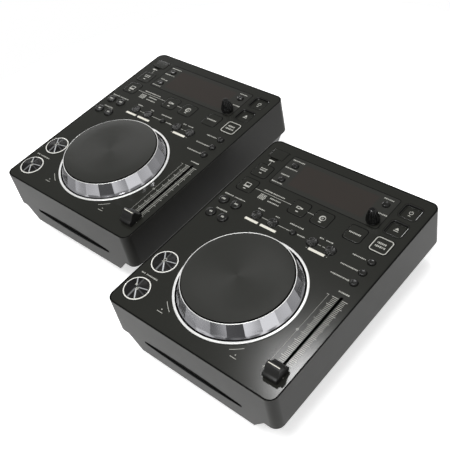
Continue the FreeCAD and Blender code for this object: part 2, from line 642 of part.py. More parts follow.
def make_chassis(unit):
    body = new_body(f"{unit}_chassis_body")
    deck = new_sketch(body, "deck", offset="-skirt_drop - sheet_thick")
    inside = "case_width - 2 * case_wall - 2 * seam", "case_depth - 2 * case_wall - 2 * seam"
    draw_rounded(deck, "deck", *inside, "corner_radius - case_wall - seam")
    pad(body, deck, "sheet_thick")
    half = "case_width / 2 - case_wall - seam - corner_radius / 4"
    outer = new_sketch(body, "tub", "XZ_Plane", "-case_depth / 2 + case_wall + seam")
    draw_polygon(outer, "tub", [
        (f"-({half})", "-skirt_drop - sheet_thick / 2"), ("-tub_low_half", "-chassis_drop"),
        ("tub_low_half", "-chassis_drop"), (half, "-skirt_drop - sheet_thick / 2")])
    pad(body, outer, "case_depth / 2 - case_wall - seam + tub_front")
    hollow = new_sketch(body, "hollow", "XZ_Plane", "-case_depth / 2 + case_wall + seam + sheet_thick")
    draw_polygon(hollow, "hollow", [
        (f"-({half}) + sheet_slant * sheet_thick", "overcut - skirt_drop"),
        ("-tub_low_half + sheet_slant * sheet_thick", "sheet_thick - chassis_drop"),
        ("tub_low_half - sheet_slant * sheet_thick", "sheet_thick - chassis_drop"),
        (f"{half} - sheet_slant * sheet_thick", "overcut - skirt_drop")])
    pocket(body, hollow, "case_depth / 2 - case_wall - seam + tub_front - 2 * sheet_thick", up=True)
    lugs = new_sketch(body, "lugs", "XZ_Plane", "-case_depth / 2 + case_wall + seam")
    for side in (-1, 1):
        draw_rounded(lugs, f"lug{side + 1}", "lug_width", "skirt_drop - lug_top + sheet_thick / 2", "lug_corner",
                     f"{side} * lug_across", "-(skirt_drop + lug_top) / 2 - sheet_thick / 4")
    pad(body, lugs, "sheet_thick")
    drilled = new_sketch(body, "drilled", "XZ_Plane", "-case_depth / 2 + case_wall - overcut")
    for side in (-1, 1):
        draw_circle(drilled, f"drilled{side + 1}", "screw_radius + screw_slip", f"{side} * lug_across",
                    "-rear_screw_drop")
    pocket(body, drilled, "sheet_thick + seam + 2 * overcut", up=True)
    round_holes(body, "front", [("screw_radius + screw_slip", f"{side} * boss_across", "-boss_along")
                                for side in (-1, 1)], "sheet_thick + 2 * overcut", top="overcut - skirt_drop")
    keep(f"{unit}_lower_chassis", place(body, *in_unit(unit)))


# ---- Jog wheel ----

def make_jog(unit):
    ring = new_body(f"{unit}_jog_body")
    profile = new_sketch(ring, "profile", "XZ_Plane")
    bore = "jog_post_radius + running"
    draw_polygon(profile, "profile", [
        ("jog_foot_radius", "jog_foot_low"),
        ("jog_foot_radius", "jog_foot_high - jog_foot_bevel_high"),
        ("jog_foot_radius - jog_foot_bevel_wide", "jog_foot_high"),
        ("jog_skirt_low_radius + jog_groove_outer", "jog_foot_high"),
        ("jog_skirt_low_radius + jog_groove_inner", "jog_foot_high - jog_groove_deep"),
        ("jog_skirt_low_radius", "jog_foot_high - jog_groove_deep"),
        ("jog_skirt_high_radius", "jog_height - jog_brow_high"),
        ("jog_skirt_high_radius - jog_brow_wide", "jog_height"),
        ("jog_plate_radius + slip", "jog_height"),
        ("jog_plate_radius + slip", "jog_web_high"),
        (0, "jog_web_high"),
        (0, "jog_web_low"),
        (bore, "jog_web_low"),
        (bore, "-jog_hub_drop"),
        ("jog_hub_radius", "-jog_hub_drop"),
        ("jog_hub_radius", "jog_web_low"),
        ("jog_skirt_high_radius - jog_skirt_wall", "jog_web_low"),
        ("jog_skirt_low_radius - jog_skirt_wall", "jog_foot_low")])
    revolve(ring, profile)
    keep(f"{unit}_jog_ring", place(ring, *in_unit(unit, y="jog_y")))

    plate = new_body(f"{unit}_plate_body")
    face = new_sketch(plate, "profile", "XZ_Plane")
    top, under = "jog_height - jog_plate_sink", "jog_height - jog_plate_sink - jog_plate_thick"
    spigot_low = "jog_web_high + jog_plate_press + running"
    draw_polygon(face, "profile", [
        (0, top), ("jog_plate_radius", top), ("jog_plate_radius", under),
        ("jog_spigot_outer", under), ("jog_spigot_outer", spigot_low),
        ("jog_spigot_inner", spigot_low), ("jog_spigot_inner", under), (0, under)])
    revolve(plate, face)
    keep(f"{unit}_jog_plate", place(plate, *in_unit(unit, y="jog_y")))


def jog_bearing(unit):
    tag = f"{unit}_bearing"
    under = "-panel_thick - jog_carrier_thick"
    carrier = cylinder(f"{tag}_plate", "jog_carrier_radius", "jog_carrier_thick",
                       *in_unit(unit, 0, "jog_y", under))
    shoulder = cylinder(f"{tag}_shoulder", "jog_shoulder_radius", "jog_shoulder_high", *in_unit(unit, 0, "jog_y", "-panel_thick"))
    post = cylinder(f"{tag}_post", "jog_post_radius", "jog_post_top + panel_thick",
                    *in_unit(unit, 0, "jog_y", "-panel_thick"))
    return fuse(tag, [carrier, shoulder, post])


# ---- Tempo slider ----

def make_slider(unit):
    body = new_body(f"{unit}_slider_body")
    side = new_sketch(body, "side", "YZ_Plane")
    end = "slider_cap_length / 2"
    draw_polygon(side, "side", [
        (f"-{end}", "slider_cap_low"), (end, "slider_cap_low"), (end, "slider_cap_edge"),
        ("slider_waist_half + slider_toe_length", "slider_cap_edge + slider_toe_rise"), ("slider_waist_half", "slider_waist_high"),
        ("slider_ridge_half", "slider_cap_high"), ("-slider_ridge_half", "slider_cap_high"),
        ("-slider_waist_half", "slider_waist_high"), ("-slider_waist_half - slider_toe_length", "slider_cap_edge + slider_toe_rise"),
        (f"-{end}", "slider_cap_edge")])
    pad(body, side, "slider_cap_width", middle=True)
    stem = new_sketch(body, "stem", offset="-slider_stem_drop")
    draw_rounded(stem, "stem", "slider_stem_thick", "slider_stem_long", "slider_stem_corner")
    pad(body, stem, "slider_stem_drop + slider_cap_low + lap")
    keep(f"{unit}_slider_cap", place(body, *in_unit(unit, "slider_x", "slider_front")))


# ---- Rotary selector ----

def make_selector(unit):
    centre = "selector_x", "selector_y"
    foot = "-panel_thick - key_lip_gap - key_lip_thick - selector_tail"
    shaft = cylinder(f"{unit}_shaft_rod", "selector_shaft_radius", f"selector_shaft_top - ({foot})",
                     *in_unit(unit, *centre, foot))
    collar = cylinder(f"{unit}_shaft_collar", "selector_collar_radius", "key_lip_thick",
                      *in_unit(unit, *centre, "-panel_thick - key_lip_gap - key_lip_thick"))
    keep(f"{unit}_selector_shaft", fuse(f"{unit}_shaft", [shaft, collar]))
    knob = new_body(f"{unit}_knob_body")
    profile = new_sketch(knob, "profile", "XZ_Plane")
    bore = "selector_shaft_radius + running"
    draw_polygon(profile, "profile", [
        (bore, "selector_low"), ("selector_low_radius - selector_bevel", "selector_low"),
        ("selector_low_radius", "selector_low + selector_bevel"), ("selector_low_radius", "selector_shoulder"),
        ("selector_high_radius", "selector_high - selector_crown"), ("selector_high_radius - selector_crown", "selector_high"),
        (0, "selector_high"), (0, "selector_bore_top"), (bore, "selector_bore_top")])
    revolve(knob, profile)
    keep(f"{unit}_selector_knob", place(knob, *in_unit(unit, *centre)))


# ---- Keys ----

def make_flat_key(unit, name, size, corner, top, spot):
    """A square key: its cap fills the hole, and its lip keeps it under the panel."""
    body = new_body(f"{unit}_{name}_body")
    lip_low = "-panel_thick - key_lip_gap - key_lip_thick"
    lip = new_sketch(body, "lip", offset=lip_low)
    draw_rounded(lip, "lip", f"{size} + 2 * key_lip", f"{size} + 2 * key_lip", f"{corner} + key_lip")
    pad(body, lip, "key_lip_thick")
    cap = new_sketch(body, "cap", offset=lip_low)
    draw_rounded(cap, "cap", size, size, corner)
    pad(body, cap, f"({top}) - ({lip_low})")
    keep(f"{unit}_{name}", place(body, *in_unit(unit, *spot)))


def round_key(tag, radius, rise, unit, spot):
    """A round key: lip, straight barrel, and a cap that narrows towards its top."""
    lip_low = "-panel_thick - key_lip_gap - key_lip_thick"
    lip = cylinder(f"{tag}_lip", f"{radius} + key_lip", "key_lip_thick", *in_unit(unit, *spot, lip_low))
    barrel = cylinder(f"{tag}_barrel", radius, f"key_barrel_rise - ({lip_low})", *in_unit(unit, *spot, lip_low))
    cap = cone(f"{tag}_cap", radius, f"{radius} - key_taper", f"{rise} - key_barrel_rise",
               *in_unit(unit, *spot, "key_barrel_rise"))
    return fuse(tag, [lip, barrel, cap])


def make_transport_key(unit, name, spot):
    """A large round key with a shallow cone on top, inside its light ring."""
    radius = "ring_radius - ring_width - slip"
    lip_low = "-panel_thick - key_lip_gap - key_lip_thick"
    tag = f"{unit}_{name}_cap"
    lip = cylinder(f"{tag}_lip", f"{radius} + key_lip", "key_lip_thick", *in_unit(unit, *spot, lip_low))
    barrel = cylinder(f"{tag}_barrel", radius, f"transport_key_rise - ({lip_low})",
                      *in_unit(unit, *spot, lip_low))
    crown = cone(f"{tag}_crown", f"{radius} - transport_key_rim", "transport_key_tip", "transport_key_dome",
                 *in_unit(unit, *spot, "transport_key_rise"))
    keep(f"{unit}_{name}", fuse(tag, [lip, barrel, crown]))


def make_round_keys(unit):
    for name, (radius, rise, spots) in ROUND_KEYS.items():
        caps = [round_key(f"{unit}_{name}_{number}", radius, rise, unit, spot)
                for number, spot in enumerate(spots)]
        if name == "loop_keys":
            caps.append(round_key(f"{unit}_{name}_dot", "dot_key_radius", "round_key_rise", unit,
                                  RELOOP_KEY))
        keep(f"{unit}_{name}", caps[0] if len(caps) == 1 else gather(f"{unit}_{name}_group", caps))


def light_ring(unit, name, spot):
    tag = f"{unit}_{name}_lamp"
    low = "-panel_thick"
    outer = cylinder(f"{tag}_outer", "ring_radius", "panel_thick + ring_rise", *in_unit(unit, *spot, low))
    inner = cylinder(f"{tag}_inner", "ring_radius - ring_width", "panel_thick + ring_rise + 2 * overcut",
                     *in_unit(unit, *spot, f"{low} - overcut"))
    return cut(tag, outer, [inner])


# ---- Memory-port cap ----

def make_port_cap(unit):
    """A flap with a round rear edge that turns on two short pins."""
    body = new_body(f"{unit}_port_cap_body")
    plate = new_sketch(body, "plate", offset="-port_cap_thick / 2")
    draw_polygon(plate, "plate", [
        ("-port_cap_width / 2", "-port_cap_length + port_cap_thick / 2"),
        ("port_cap_width / 2", "-port_cap_length + port_cap_thick / 2"),
        ("port_cap_width / 2", 0), ("-port_cap_width / 2", 0)])
    pad(body, plate, "port_cap_thick")
    edge = new_sketch(body, "edge", "YZ_Plane")
    draw_circle(edge, "edge", "port_cap_thick / 2")
    pad(body, edge, "port_cap_width", middle=True)
    pins = new_sketch(body, "pins", "YZ_Plane")
    draw_circle(pins, "pins", "port_pin_radius")
    pad(body, pins, "port_cap_width + 2 * port_pin_length", middle=True)
    spot = "port_x", "port_y + port_cap_length / 2 - port_cap_thick / 2", "port_cap_rise - port_cap_thick / 2"
    keep(f"{unit}_port_cap", place(body, *in_unit(unit, *spot)))


# ---- Fixed pieces that both players share as one node each ----

def display_lens(unit):
    body = new_body(f"{unit}_lens_body")
    outline = new_sketch(body, "outline", offset="-lens_thick")
    draw_rounded(outline, "outline", "lens_width - 2 * seam", "lens_depth - 2 * seam", "lens_corner - seam",
                 "lens_x", "lens_y")
    pad(body, outline, "lens_thick")
    holes = [("small_key_radius + slip", x, y)
             for name in ("display_keys", "back_button") for x, y in ROUND_KEYS[name][2]]
    holes.append(("selector_shaft_radius + slip", "selector_x", "selector_y"))
    round_holes(body, "holes", holes, "lens_thick + overcut")
    return place(body, *in_unit(unit))


def circuit_board(unit):
    tag = f"{unit}_board"
    top, low = "-board_top", "-board_top - board_thick"
    def slab(name, x_low, x_high, y_low, y_high, z_low, z_high):
        return box(f"{tag}_{name}", in_unit(unit, x_low, y_low, z_low), in_unit(unit, x_high, y_high, z_high))
    left = "board_margin - case_width / 2"
    main = slab("main", left, "case_width / 2 - board_margin", "board_step", "case_depth / 2 - board_back", low, top)
    front = slab("front", left, f"{left} + board_arm", "board_front - case_depth / 2", "board_step", low, top)
    pieces = [fuse(f"{tag}_sheet", [main, front])]
    spots = list(SQUARE_KEYS.values()) + list(WELL_KEYS.values()) + list(TRANSPORT_KEYS.values())
    spots += [spot for radius, rise, places in ROUND_KEYS.values() for spot in places] + [RELOOP_KEY]
    half = "switch_size / 2"
    for number, (x, y) in enumerate(spots):
        pieces.append(slab(f"switch{number}", f"{x} - {half}", f"{x} + {half}", f"{y} - {half}", f"{y} + {half}",
                           top, "switch_height - board_top"))
    pieces.append(slab("encoder", "selector_x - switch_size", "selector_x + switch_size",
                       "selector_y - switch_size", "selector_y + switch_size", top, "encoder_height - board_top"))
    pieces.append(slab("display", "lens_x - screen_width / 2 - display_margin", "lens_x + screen_width / 2 + display_margin",
                       "lens_y - screen_depth / 2 - display_margin", "lens_y + screen_depth / 2 + display_margin",
                       "-panel_thick - display_depth", "-panel_thick"))
    middle = "slider_front + slider_travel / 2"
    fader = slab("fader", "slider_x - fader_width / 2", "slider_x + fader_width / 2",
                 f"{middle} - fader_length / 2", f"{middle} + fader_length / 2",
                 "-panel_thick - fader_height", "-panel_thick")
    track = slab("track", "slider_x - slider_slot_width / 2", "slider_x + slider_slot_width / 2",
                 f"{middle} - (slider_travel + slider_stem_long) / 2 - slip",
                 f"{middle} + (slider_travel + slider_stem_long) / 2 + slip",
                 "-slider_stem_drop - overcut", "overcut - panel_thick")
    pieces.append(cut(f"{tag}_resistor", fader, [track]))
    return pieces


def disc_drive(unit):
    tag = f"{unit}_drive"
    def block(name, x_low, x_high, y_low, y_high, z_low, z_high):
        return box(f"{tag}_{name}", in_unit(unit, x_low, y_low, z_low), in_unit(unit, x_high, y_high, z_high))
    outside = block("outside", "-drive_half", "drive_half", "-drive_front", "drive_back", "-drive_low", "-drive_high")
    inside = block("inside", "drive_wall - drive_half", "drive_half - drive_wall", "drive_wall - drive_front",
                   "drive_back - drive_wall", "drive_wall - drive_low", "-drive_high - drive_wall")
    mouth = block("mouth", "-disc_slot_width / 2", "disc_slot_width / 2", "-drive_front - overcut",
                  "drive_wall - drive_front + overcut", "-disc_slot_drop - disc_slot_height / 2",
                  "-disc_slot_drop + disc_slot_height / 2")
    shell = cut(f"{tag}_shell", outside, [inside, mouth])
    roller = sideways(f"{tag}_roller", "roller_radius", "2 * (drive_half - drive_wall)",
                      *in_unit(unit, "drive_wall - drive_half", "roller_setback - drive_front",
                               "-disc_slot_drop + disc_slot_height / 2 + roller_radius"))
    turntable = cylinder(f"{tag}_turntable", "turntable_radius", "turntable_height",
                         *in_unit(unit, 0, "jog_y - turntable_setback", "drive_wall - drive_low"))
    posts = []
    for side in (-1, 1):
        for end, y in (("front", "drive_post_setback - drive_front"), ("back", "drive_back - drive_post_back")):
            x = f"{side} * (drive_half - drive_post_inset)"
            posts.append(block(f"post_{end}{side + 1}", f"{x} - drive_post / 2", f"{x} + drive_post / 2",
                               f"{y} - drive_post / 2", f"{y} + drive_post / 2",
                               "sheet_thick - chassis_drop", "-drive_low"))
    return [shell, roller, turntable] + posts


def rear_block(unit, name, width, height, x):
    """A socket with flat sides: a block through the rear wall, hollowed from behind."""
    tag = f"{unit}_{name}"
    back = "case_depth / 2"
    def block(part, half_x, half_z, y_low, y_high):
        return box(f"{tag}_{part}", in_unit(unit, f"{x} - ({half_x})", y_low, f"-socket_drop - ({half_z})"),
                   in_unit(unit, f"{x} + ({half_x})", y_high, f"-socket_drop + ({half_z})"))
    body = block("body", f"{width} / 2 + socket_wall", f"{height} / 2 + socket_wall",
                 f"{back} - case_wall - socket_block_depth", back)
    mouth = block("mouth", f"{width} / 2", f"{height} / 2", f"{back} - socket_depth", f"{back} + overcut")
    return cut(f"{tag}_hollow", body, [mouth])


def power_inlet(unit):
    """The mains inlet: two pins side by side."""
    shell = rear_block(unit, "inlet", "inlet_width", "inlet_height", INLET_PLACE)
    pins = [rearward(f"{unit}_inlet_pin{side + 1}", "inlet_pin_radius", "socket_depth + pin_root - pin_sink",
                     *in_unit(unit, f"{INLET_PLACE} + {side} * inlet_pin_across",
                              "case_depth / 2 - socket_depth - pin_root", "-socket_drop"))
            for side in (-1, 1)]
    return fuse(f"{unit}_inlet", [shell] + pins)


def data_socket(unit):
    """The square data socket: a tongue in the middle of its opening."""
    shell = rear_block(unit, "data", "data_width", "data_height", DATA_PLACE)
    low = f"{DATA_PLACE} - data_tongue_half", "case_depth / 2 - socket_depth - pin_root", "-socket_drop - data_tongue_high"
    high = f"{DATA_PLACE} + data_tongue_half", "case_depth / 2 - pin_sink", "data_tongue_high - socket_drop"
    return fuse(f"{unit}_data", [shell, box(f"{unit}_data_tongue", in_unit(unit, *low), in_unit(unit, *high))])


def barrel_socket(unit, number, x, bore_radius, collar_radius, collar_reach, reach):
    """A block behind the rear wall with a round collar through it, bored for its contact.

    A phono barrel stands on a collar that is a little thinner than itself.
    """
    tag = f"{unit}_phono{number}"
    inner = "case_depth / 2 - case_wall"
    block = box(f"{tag}_block", in_unit(unit, f"{x} - phono_block_half", f"{inner} - socket_block_depth",
                                        "-socket_drop - phono_block_half"),
                in_unit(unit, f"{x} + phono_block_half", inner, "phono_block_half - socket_drop"))
    pieces = [block, rearward(f"{tag}_collar", collar_radius, f"lap + case_wall + {collar_reach}",
                              *in_unit(unit, x, f"{inner} - lap", "-socket_drop"))]
    if reach != collar_reach:
        pieces.append(rearward(f"{tag}_barrel", "phono_radius", f"{reach} - {collar_reach}",
                               *in_unit(unit, x, f"case_depth / 2 + {collar_reach}", "-socket_drop")))
    bore = rearward(f"{tag}_bore", bore_radius, f"bore_behind + case_wall + {reach} + overcut",
                    *in_unit(unit, x, f"{inner} - bore_behind", "-socket_drop"))
    return cut(tag, fuse(f"{tag}_solid", pieces), [bore])


def memory_port(unit):
    """The upright socket under the flap: a thin metal shell with a tongue."""
    tag = f"{unit}_memory"
    def block(part, half_x, half_y, z_low, z_high):
        y = "port_y - port_shell_setback"
        return box(f"{tag}_{part}", in_unit(unit, f"port_x - ({half_x})", f"{y} - ({half_y})", z_low),
                   in_unit(unit, f"port_x + ({half_x})", f"{y} + ({half_y})", z_high))
    shell = block("shell", "port_shell_width / 2", "port_shell_depth / 2", "-board_top", "-panel_thick - port_shell_gap")
    cavity = block("cavity", "port_shell_width / 2 - port_shell_wall", "port_shell_depth / 2 - port_shell_wall",
                   "port_shell_wall - board_top", "-panel_thick + overcut")
    tongue = block("tongue", "port_shell_width / 2 - port_tongue_margin", "port_tongue_half",
                   "port_shell_wall / 2 - board_top", "-panel_thick - port_tongue_sink")
    return fuse(tag, [cut(f"{tag}_hollow", shell, [cavity]), tongue])


def rear_sockets(unit):
    phonos = [barrel_socket(unit, number, x, "phono_bore", "phono_radius - phono_neck", "phono_neck", "phono_reach")
              for number, x in enumerate(PHONO_PLACES)]
    jack = barrel_socket(unit, "jack", JACK_PLACE, "jack_bore", "phono_radius", "0", "0")
    return [power_inlet(unit), data_socket(unit), jack, memory_port(unit)] + phonos


def rubber_feet(unit):
    feet = []
    for side in (-1, 1):
        for end, y in (("front", "-foot_front"), ("back", "foot_back")):
            tag = f"{unit}_foot_{end}{side + 1}"
            x = f"{side} * foot_across"
            sole = cone(f"{tag}_sole", "foot_radius - foot_bevel", "foot_radius", "foot_bevel",
                        *in_unit(unit, x, y, "-panel_top"))
            rest = cylinder(f"{tag}_rest", "foot_radius", "panel_top - chassis_drop - foot_bevel",
                            *in_unit(unit, x, y, "foot_bevel - panel_top"))
            feet.append(fuse(tag, [sole, rest]))
    return feet


def case_screws(unit):
    screws = []
    for side in (-1, 1):
        tag = f"{unit}_screw{side + 1}"
        spot = f"{side} * boss_across", "-boss_along"
        under = "-skirt_drop - sheet_thick"
        head = cylinder(f"{tag}_head", "screw_head_radius", "screw_head_height",
                        *in_unit(unit, *spot, f"{under} - screw_head_height"))
        shank = cylinder(f"{tag}_shank", "screw_radius", "screw_length + sheet_thick", *in_unit(unit, *spot, under))
        screws.append(fuse(tag, [head, shank]))
        spot = f"{side} * lug_across", "-rear_screw_drop"
        head = rearward(f"{tag}_rear_head", "screw_head_radius", "screw_head_height",
                        *in_unit(unit, spot[0], "case_depth / 2", spot[1]))
        shank = rearward(f"{tag}_rear_shank", "screw_radius", "screw_length",
                         *in_unit(unit, spot[0], "case_depth / 2 - screw_length", spot[1]))
        screws.append(fuse(f"{tag}_rear", [head, shank]))
    return screws


for unit in UNITS:
    make_case(unit)
    make_panel(unit)
    make_chassis(unit)
    make_jog(unit)
    make_slider(unit)
    make_selector(unit)
    for name, spot in SQUARE_KEYS.items():
        make_flat_key(unit, name, "square_key_size", "square_key_corner", "square_key_rise", spot)
    for name, spot in WELL_KEYS.items():
        make_flat_key(unit, name, "well_key_size", "well_key_corner", "-well_key_sink", spot)
    for name, spot in TRANSPORT_KEYS.items():
        make_transport_key(unit, name, spot)
    make_round_keys(unit)
    make_port_cap(unit)

keep("display_lenses", gather("lens_pair", [display_lens(unit) for unit in UNITS]))
keep("light_rings", gather("lamp_rings", [light_ring(unit, name, spot)
                                          for unit in UNITS for name, spot in TRANSPORT_KEYS.items()]))
keep("jog_bearings", gather("bearing_pair", [jog_bearing(unit) for unit in UNITS]))
keep("circuit_boards", gather("board_set", [piece for unit in UNITS for piece in circuit_board(unit)]))
keep("disc_drives", gather("drive_pair", [piece for unit in UNITS for piece in disc_drive(unit)]))
keep("rear_sockets", gather("socket_set", [piece for unit in UNITS for piece in rear_sockets(unit)]))
keep("rubber_feet", gather("foot_set", [foot for unit in UNITS for foot in rubber_feet(unit)]))
keep("screws", gather("screw_set", [screw for unit in UNITS for screw in case_screws(unit)]))
doc.recompute()

failed = [thing.Label for thing in doc.Objects if {"Invalid", "Error"} & set(thing.State)]
failed += [name for name, thing in nodes.items() if thing.Shape.isNull() or not thing.Shape.isValid()]
if failed:
    sys.exit(f"these did not build: {failed}")

os.makedirs("parts", exist_ok=True)
for name, thing in nodes.items():
    thing.Shape.exportStep(os.path.join("parts", f"{name}.step"))
    extent = thing.Shape.BoundBox
    print(f"{name:26s} solids {len(thing.Shape.Solids):3d}  volume {thing.Shape.Volume / 1000:9.2f} cm3  "
          f"z {extent.ZMin:7.2f} to {extent.ZMax:7.2f}")
print(f"{len(nodes)} nodes")
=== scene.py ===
import math
import bmesh
import bpy
import numpy as np
from mathutils import Matrix, Vector


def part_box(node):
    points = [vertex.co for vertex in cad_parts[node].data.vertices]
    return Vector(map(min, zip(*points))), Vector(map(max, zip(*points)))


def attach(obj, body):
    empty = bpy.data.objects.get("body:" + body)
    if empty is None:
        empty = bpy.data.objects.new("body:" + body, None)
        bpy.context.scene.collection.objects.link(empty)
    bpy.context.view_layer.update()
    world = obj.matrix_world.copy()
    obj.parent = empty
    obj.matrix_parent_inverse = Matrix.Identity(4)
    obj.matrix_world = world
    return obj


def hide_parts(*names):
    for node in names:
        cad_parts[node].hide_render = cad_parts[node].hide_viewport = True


# A pair of tabletop disc players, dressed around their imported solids. Everything is in metres, in the shared
# frame. Places on a player are in millimetres from the middle of its panel's top: across, along and up.

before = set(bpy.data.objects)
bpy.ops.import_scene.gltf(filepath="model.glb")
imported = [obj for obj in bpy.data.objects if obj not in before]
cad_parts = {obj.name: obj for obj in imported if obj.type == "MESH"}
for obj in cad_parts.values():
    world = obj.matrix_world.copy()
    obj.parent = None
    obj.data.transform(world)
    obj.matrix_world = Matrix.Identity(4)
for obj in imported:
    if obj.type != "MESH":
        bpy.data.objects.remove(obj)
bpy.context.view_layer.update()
mm = 0.001
players = ("left", "right")
middles = {}
for player in players:
    low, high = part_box(player + "_case")
    middles[player] = np.array([(low.x + high.x) / 2, (low.y + high.y) / 2, high.z])
print("frame loaded:", len(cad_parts), "nodes")


# meshes from arrays

smooth = {"small key": 64, "transport key": 128, "plate": 160}  # columns round a turned piece
weld = {"new": 1e-7, "sliver": 1e-8, "solid": 2e-6}  # metres within which points are joined


def gridFaces(rows, columns):
    # quads between neighbouring rows of a grid stored row after row, each row joined round to its start
    row = np.arange(rows - 1)[:, None] * columns
    column = np.arange(columns)[None, :]
    after = (column + 1) % columns
    corners = [row + column, row + after, row + columns + after, row + columns + column]
    return np.stack(corners, -1).reshape(-1, 4)


def cappedFaces(rows, columns):
    # the same, with a flat face over each end
    last = (rows - 1) * columns
    return gridFaces(rows, columns).tolist() + [list(range(columns))[::-1], list(range(last, last + columns))]


def raised(outline, height):
    # an outline (x, y) as points (x, y, height)
    return np.column_stack([outline, np.full(len(outline), height)])


def placed(name, data):
    # a new object in the scene
    thing = bpy.data.objects.new(name, data)
    bpy.context.scene.collection.objects.link(thing)
    return thing


def meshPiece(name, points, faces, look, body, replaced=(), sharp=38, extra=(), picks=None):
    # points are in metres, faces are lists of their numbers, picks tells each face which of the looks it has,
    # and edges that turn by more than sharp degrees stay hard
    mesh = bpy.data.meshes.new(name)
    mesh.from_pydata(np.asarray(points).tolist(), [], [list(map(int, face)) for face in faces])
    for one in [look, *extra]:
        mesh.materials.append(looks[one])
    if picks is not None:
        mesh.polygons.foreach_set("material_index", np.asarray(picks, dtype=np.int32))
    shape = bmesh.new()
    shape.from_mesh(mesh)
    bmesh.ops.remove_doubles(shape, verts=shape.verts, dist=weld["new"])
    bmesh.ops.dissolve_degenerate(shape, edges=shape.edges, dist=weld["sliver"])
    bmesh.ops.recalc_face_normals(shape, faces=shape.faces)
    for face in shape.faces:
        face.smooth = True
    for edge in shape.edges:
        if len(edge.link_faces) == 2 and edge.calc_face_angle(0) > math.radians(sharp):
            edge.smooth = False
    shape.to_mesh(mesh)
    shape.free()
    piece = placed(name, mesh)
    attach(piece, body)
    if replaced:
        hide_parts(*replaced)


def nodePiece(player, name, node, points, faces, look, sharp, extra=(), picks=None):
    # a piece that rides with one of a player's nodes and takes its place
    body = f"{player}_{node}"
    meshPiece(f"{player}_{name}", points, faces, look, body, [body], sharp, extra, picks)


def merged(parts):
    # several (points, faces) pairs as one
    points, faces, start = [], [], 0
    for cloud, polygons in parts:
        points.append(np.asarray(cloud))
        faces += [[int(i) + start for i in polygon] for polygon in polygons]
        start += len(cloud)
    return np.vstack(points), faces


def turned(profile, middle, columns, shape=None):
    # a profile of (radius, height) pairs carried once round an upright axis through middle:
    # x = radius cos(angle), y = radius sin(angle), z = height, and shape may move the radius by angle and row
    profile = np.asarray(profile, float)
    angle = np.linspace(0, 2 * np.pi, columns, endpoint=False)
    radius = np.repeat(profile[:, :1], columns, 1)
    height = np.repeat(profile[:, 1:], columns, 1)
    if shape is not None:
        radius, height = shape(radius, height, angle[None, :])
    points = np.stack([radius * np.cos(angle), radius * np.sin(angle), height], -1) * mm + np.asarray(middle)
    return points.reshape(-1, 3), gridFaces(len(profile), columns)


def closedTurned(profile, middle, columns, shape=None):
    # the same, with the profile's last pair joined back to its first
    return turned(list(profile) + [profile[0]], middle, columns, shape)


def roundedLoop(width, depth, corner, perCorner):
    # points round a rectangle: each corner's middle plus its radius times (cos, sin) over a quarter turn
    corner = max(corner, 0.02)  # never quite sharp
    turn = np.linspace(0, np.pi / 2, perCorner)
    loops = []
    for quarter, (sideX, sideY) in enumerate([(1, 1), (-1, 1), (-1, -1), (1, -1)]):
        angle = turn + quarter * np.pi / 2
        loops.append(np.stack([sideX * (width / 2 - corner) + corner * np.cos(angle),
                               sideY * (depth / 2 - corner) + corner * np.sin(angle)], -1))
    return np.vstack(loops)


def stacked(rows, middle, perCorner):
    # rounded rectangles (width, depth, corner, height) joined one above the next and closed flat at each end
    loops = [raised(roundedLoop(width, depth, corner, perCorner), height)
             for width, depth, corner, height in rows]
    return np.vstack(loops) * mm + np.asarray(middle), cappedFaces(len(rows), 4 * perCorner)


def prism(outline, low, high):
    # a flat closed outline drawn up from one height to another
    return np.vstack([raised(outline, low), raised(outline, high)]), cappedFaces(2, len(outline))


def band(loops, heights):
    # a closed ring: loops with as many points each, each at its own height, joined in turn and to the first
    points = np.vstack([raised(loop, height) for loop, height in zip(loops, heights)])
    count = len(loops[0])
    return np.vstack([points, points[:count]]), gridFaces(len(loops) + 1, count)


def roundedOver(size, corner, top, edge, foot):
    # rows of a square cap with a round upper edge: it draws in as 1 - cos and rises as sin over a quarter
    # turn
    rows = [(size, size, corner, foot)]
    for turn in np.linspace(0, np.pi / 2, 5):
        inset = edge * (1 - math.cos(turn))
        rows.append((size - 2 * inset, size - 2 * inset, corner - inset, top - edge + edge * math.sin(turn)))
    return rows


def at(player, x=0.0, y=0.0, z=0.0):
    # a place on a player, given in millimetres, as metres in the shared frame
    return middles[player] + np.array([x, y, z]) * mm


# camera

cameraPlace = {"place": (0.52245, -0.41665, 0.6823), "across": (0.7463, 0.6439, -0.1686),
               "up": (-0.3779, 0.6185, 0.6890), "back": (0.5479, -0.4505, 0.7049), "lens": 62.6, "film": 36}
cameraData = bpy.data.cameras.new("studio camera")
cameraData.lens = cameraPlace["lens"]
cameraData.sensor_width = cameraPlace["film"]
cameraData.sensor_fit = "HORIZONTAL"
cameraData.clip_start = 0.01
camera = placed("studio camera", cameraData)
turn = Matrix([cameraPlace["across"], cameraPlace["up"], cameraPlace["back"]]).transposed().to_4x4()
camera.matrix_world = Matrix.Translation(cameraPlace["place"]) @ turn
bpy.context.scene.camera = camera
bpy.context.scene.view_settings.view_transform = "Standard"


# materials

def makeGroup(name, base, amounts):
    # a node group that takes a place, a base colour and amounts, and gives a colour, a roughness and a height
    group = bpy.data.node_groups.new(name, "ShaderNodeTree")
    group.interface.new_socket(name="Vector", in_out="INPUT", socket_type="NodeSocketVector")
    colour = group.interface.new_socket(name="Base", in_out="INPUT", socket_type="NodeSocketColor")
    colour.default_value = (*base, 1.0)
    for label, amount in amounts.items():
        socket = group.interface.new_socket(name=label, in_out="INPUT", socket_type="NodeSocketFloat")
        socket.default_value = amount
    for label, kind in (("Color", "Color"), ("Roughness", "Float"), ("Height", "Float")):
        group.interface.new_socket(name=label, in_out="OUTPUT", socket_type="NodeSocket" + kind)
    return group, group.nodes.new("NodeGroupInput"), group.nodes.new("NodeGroupOutput")


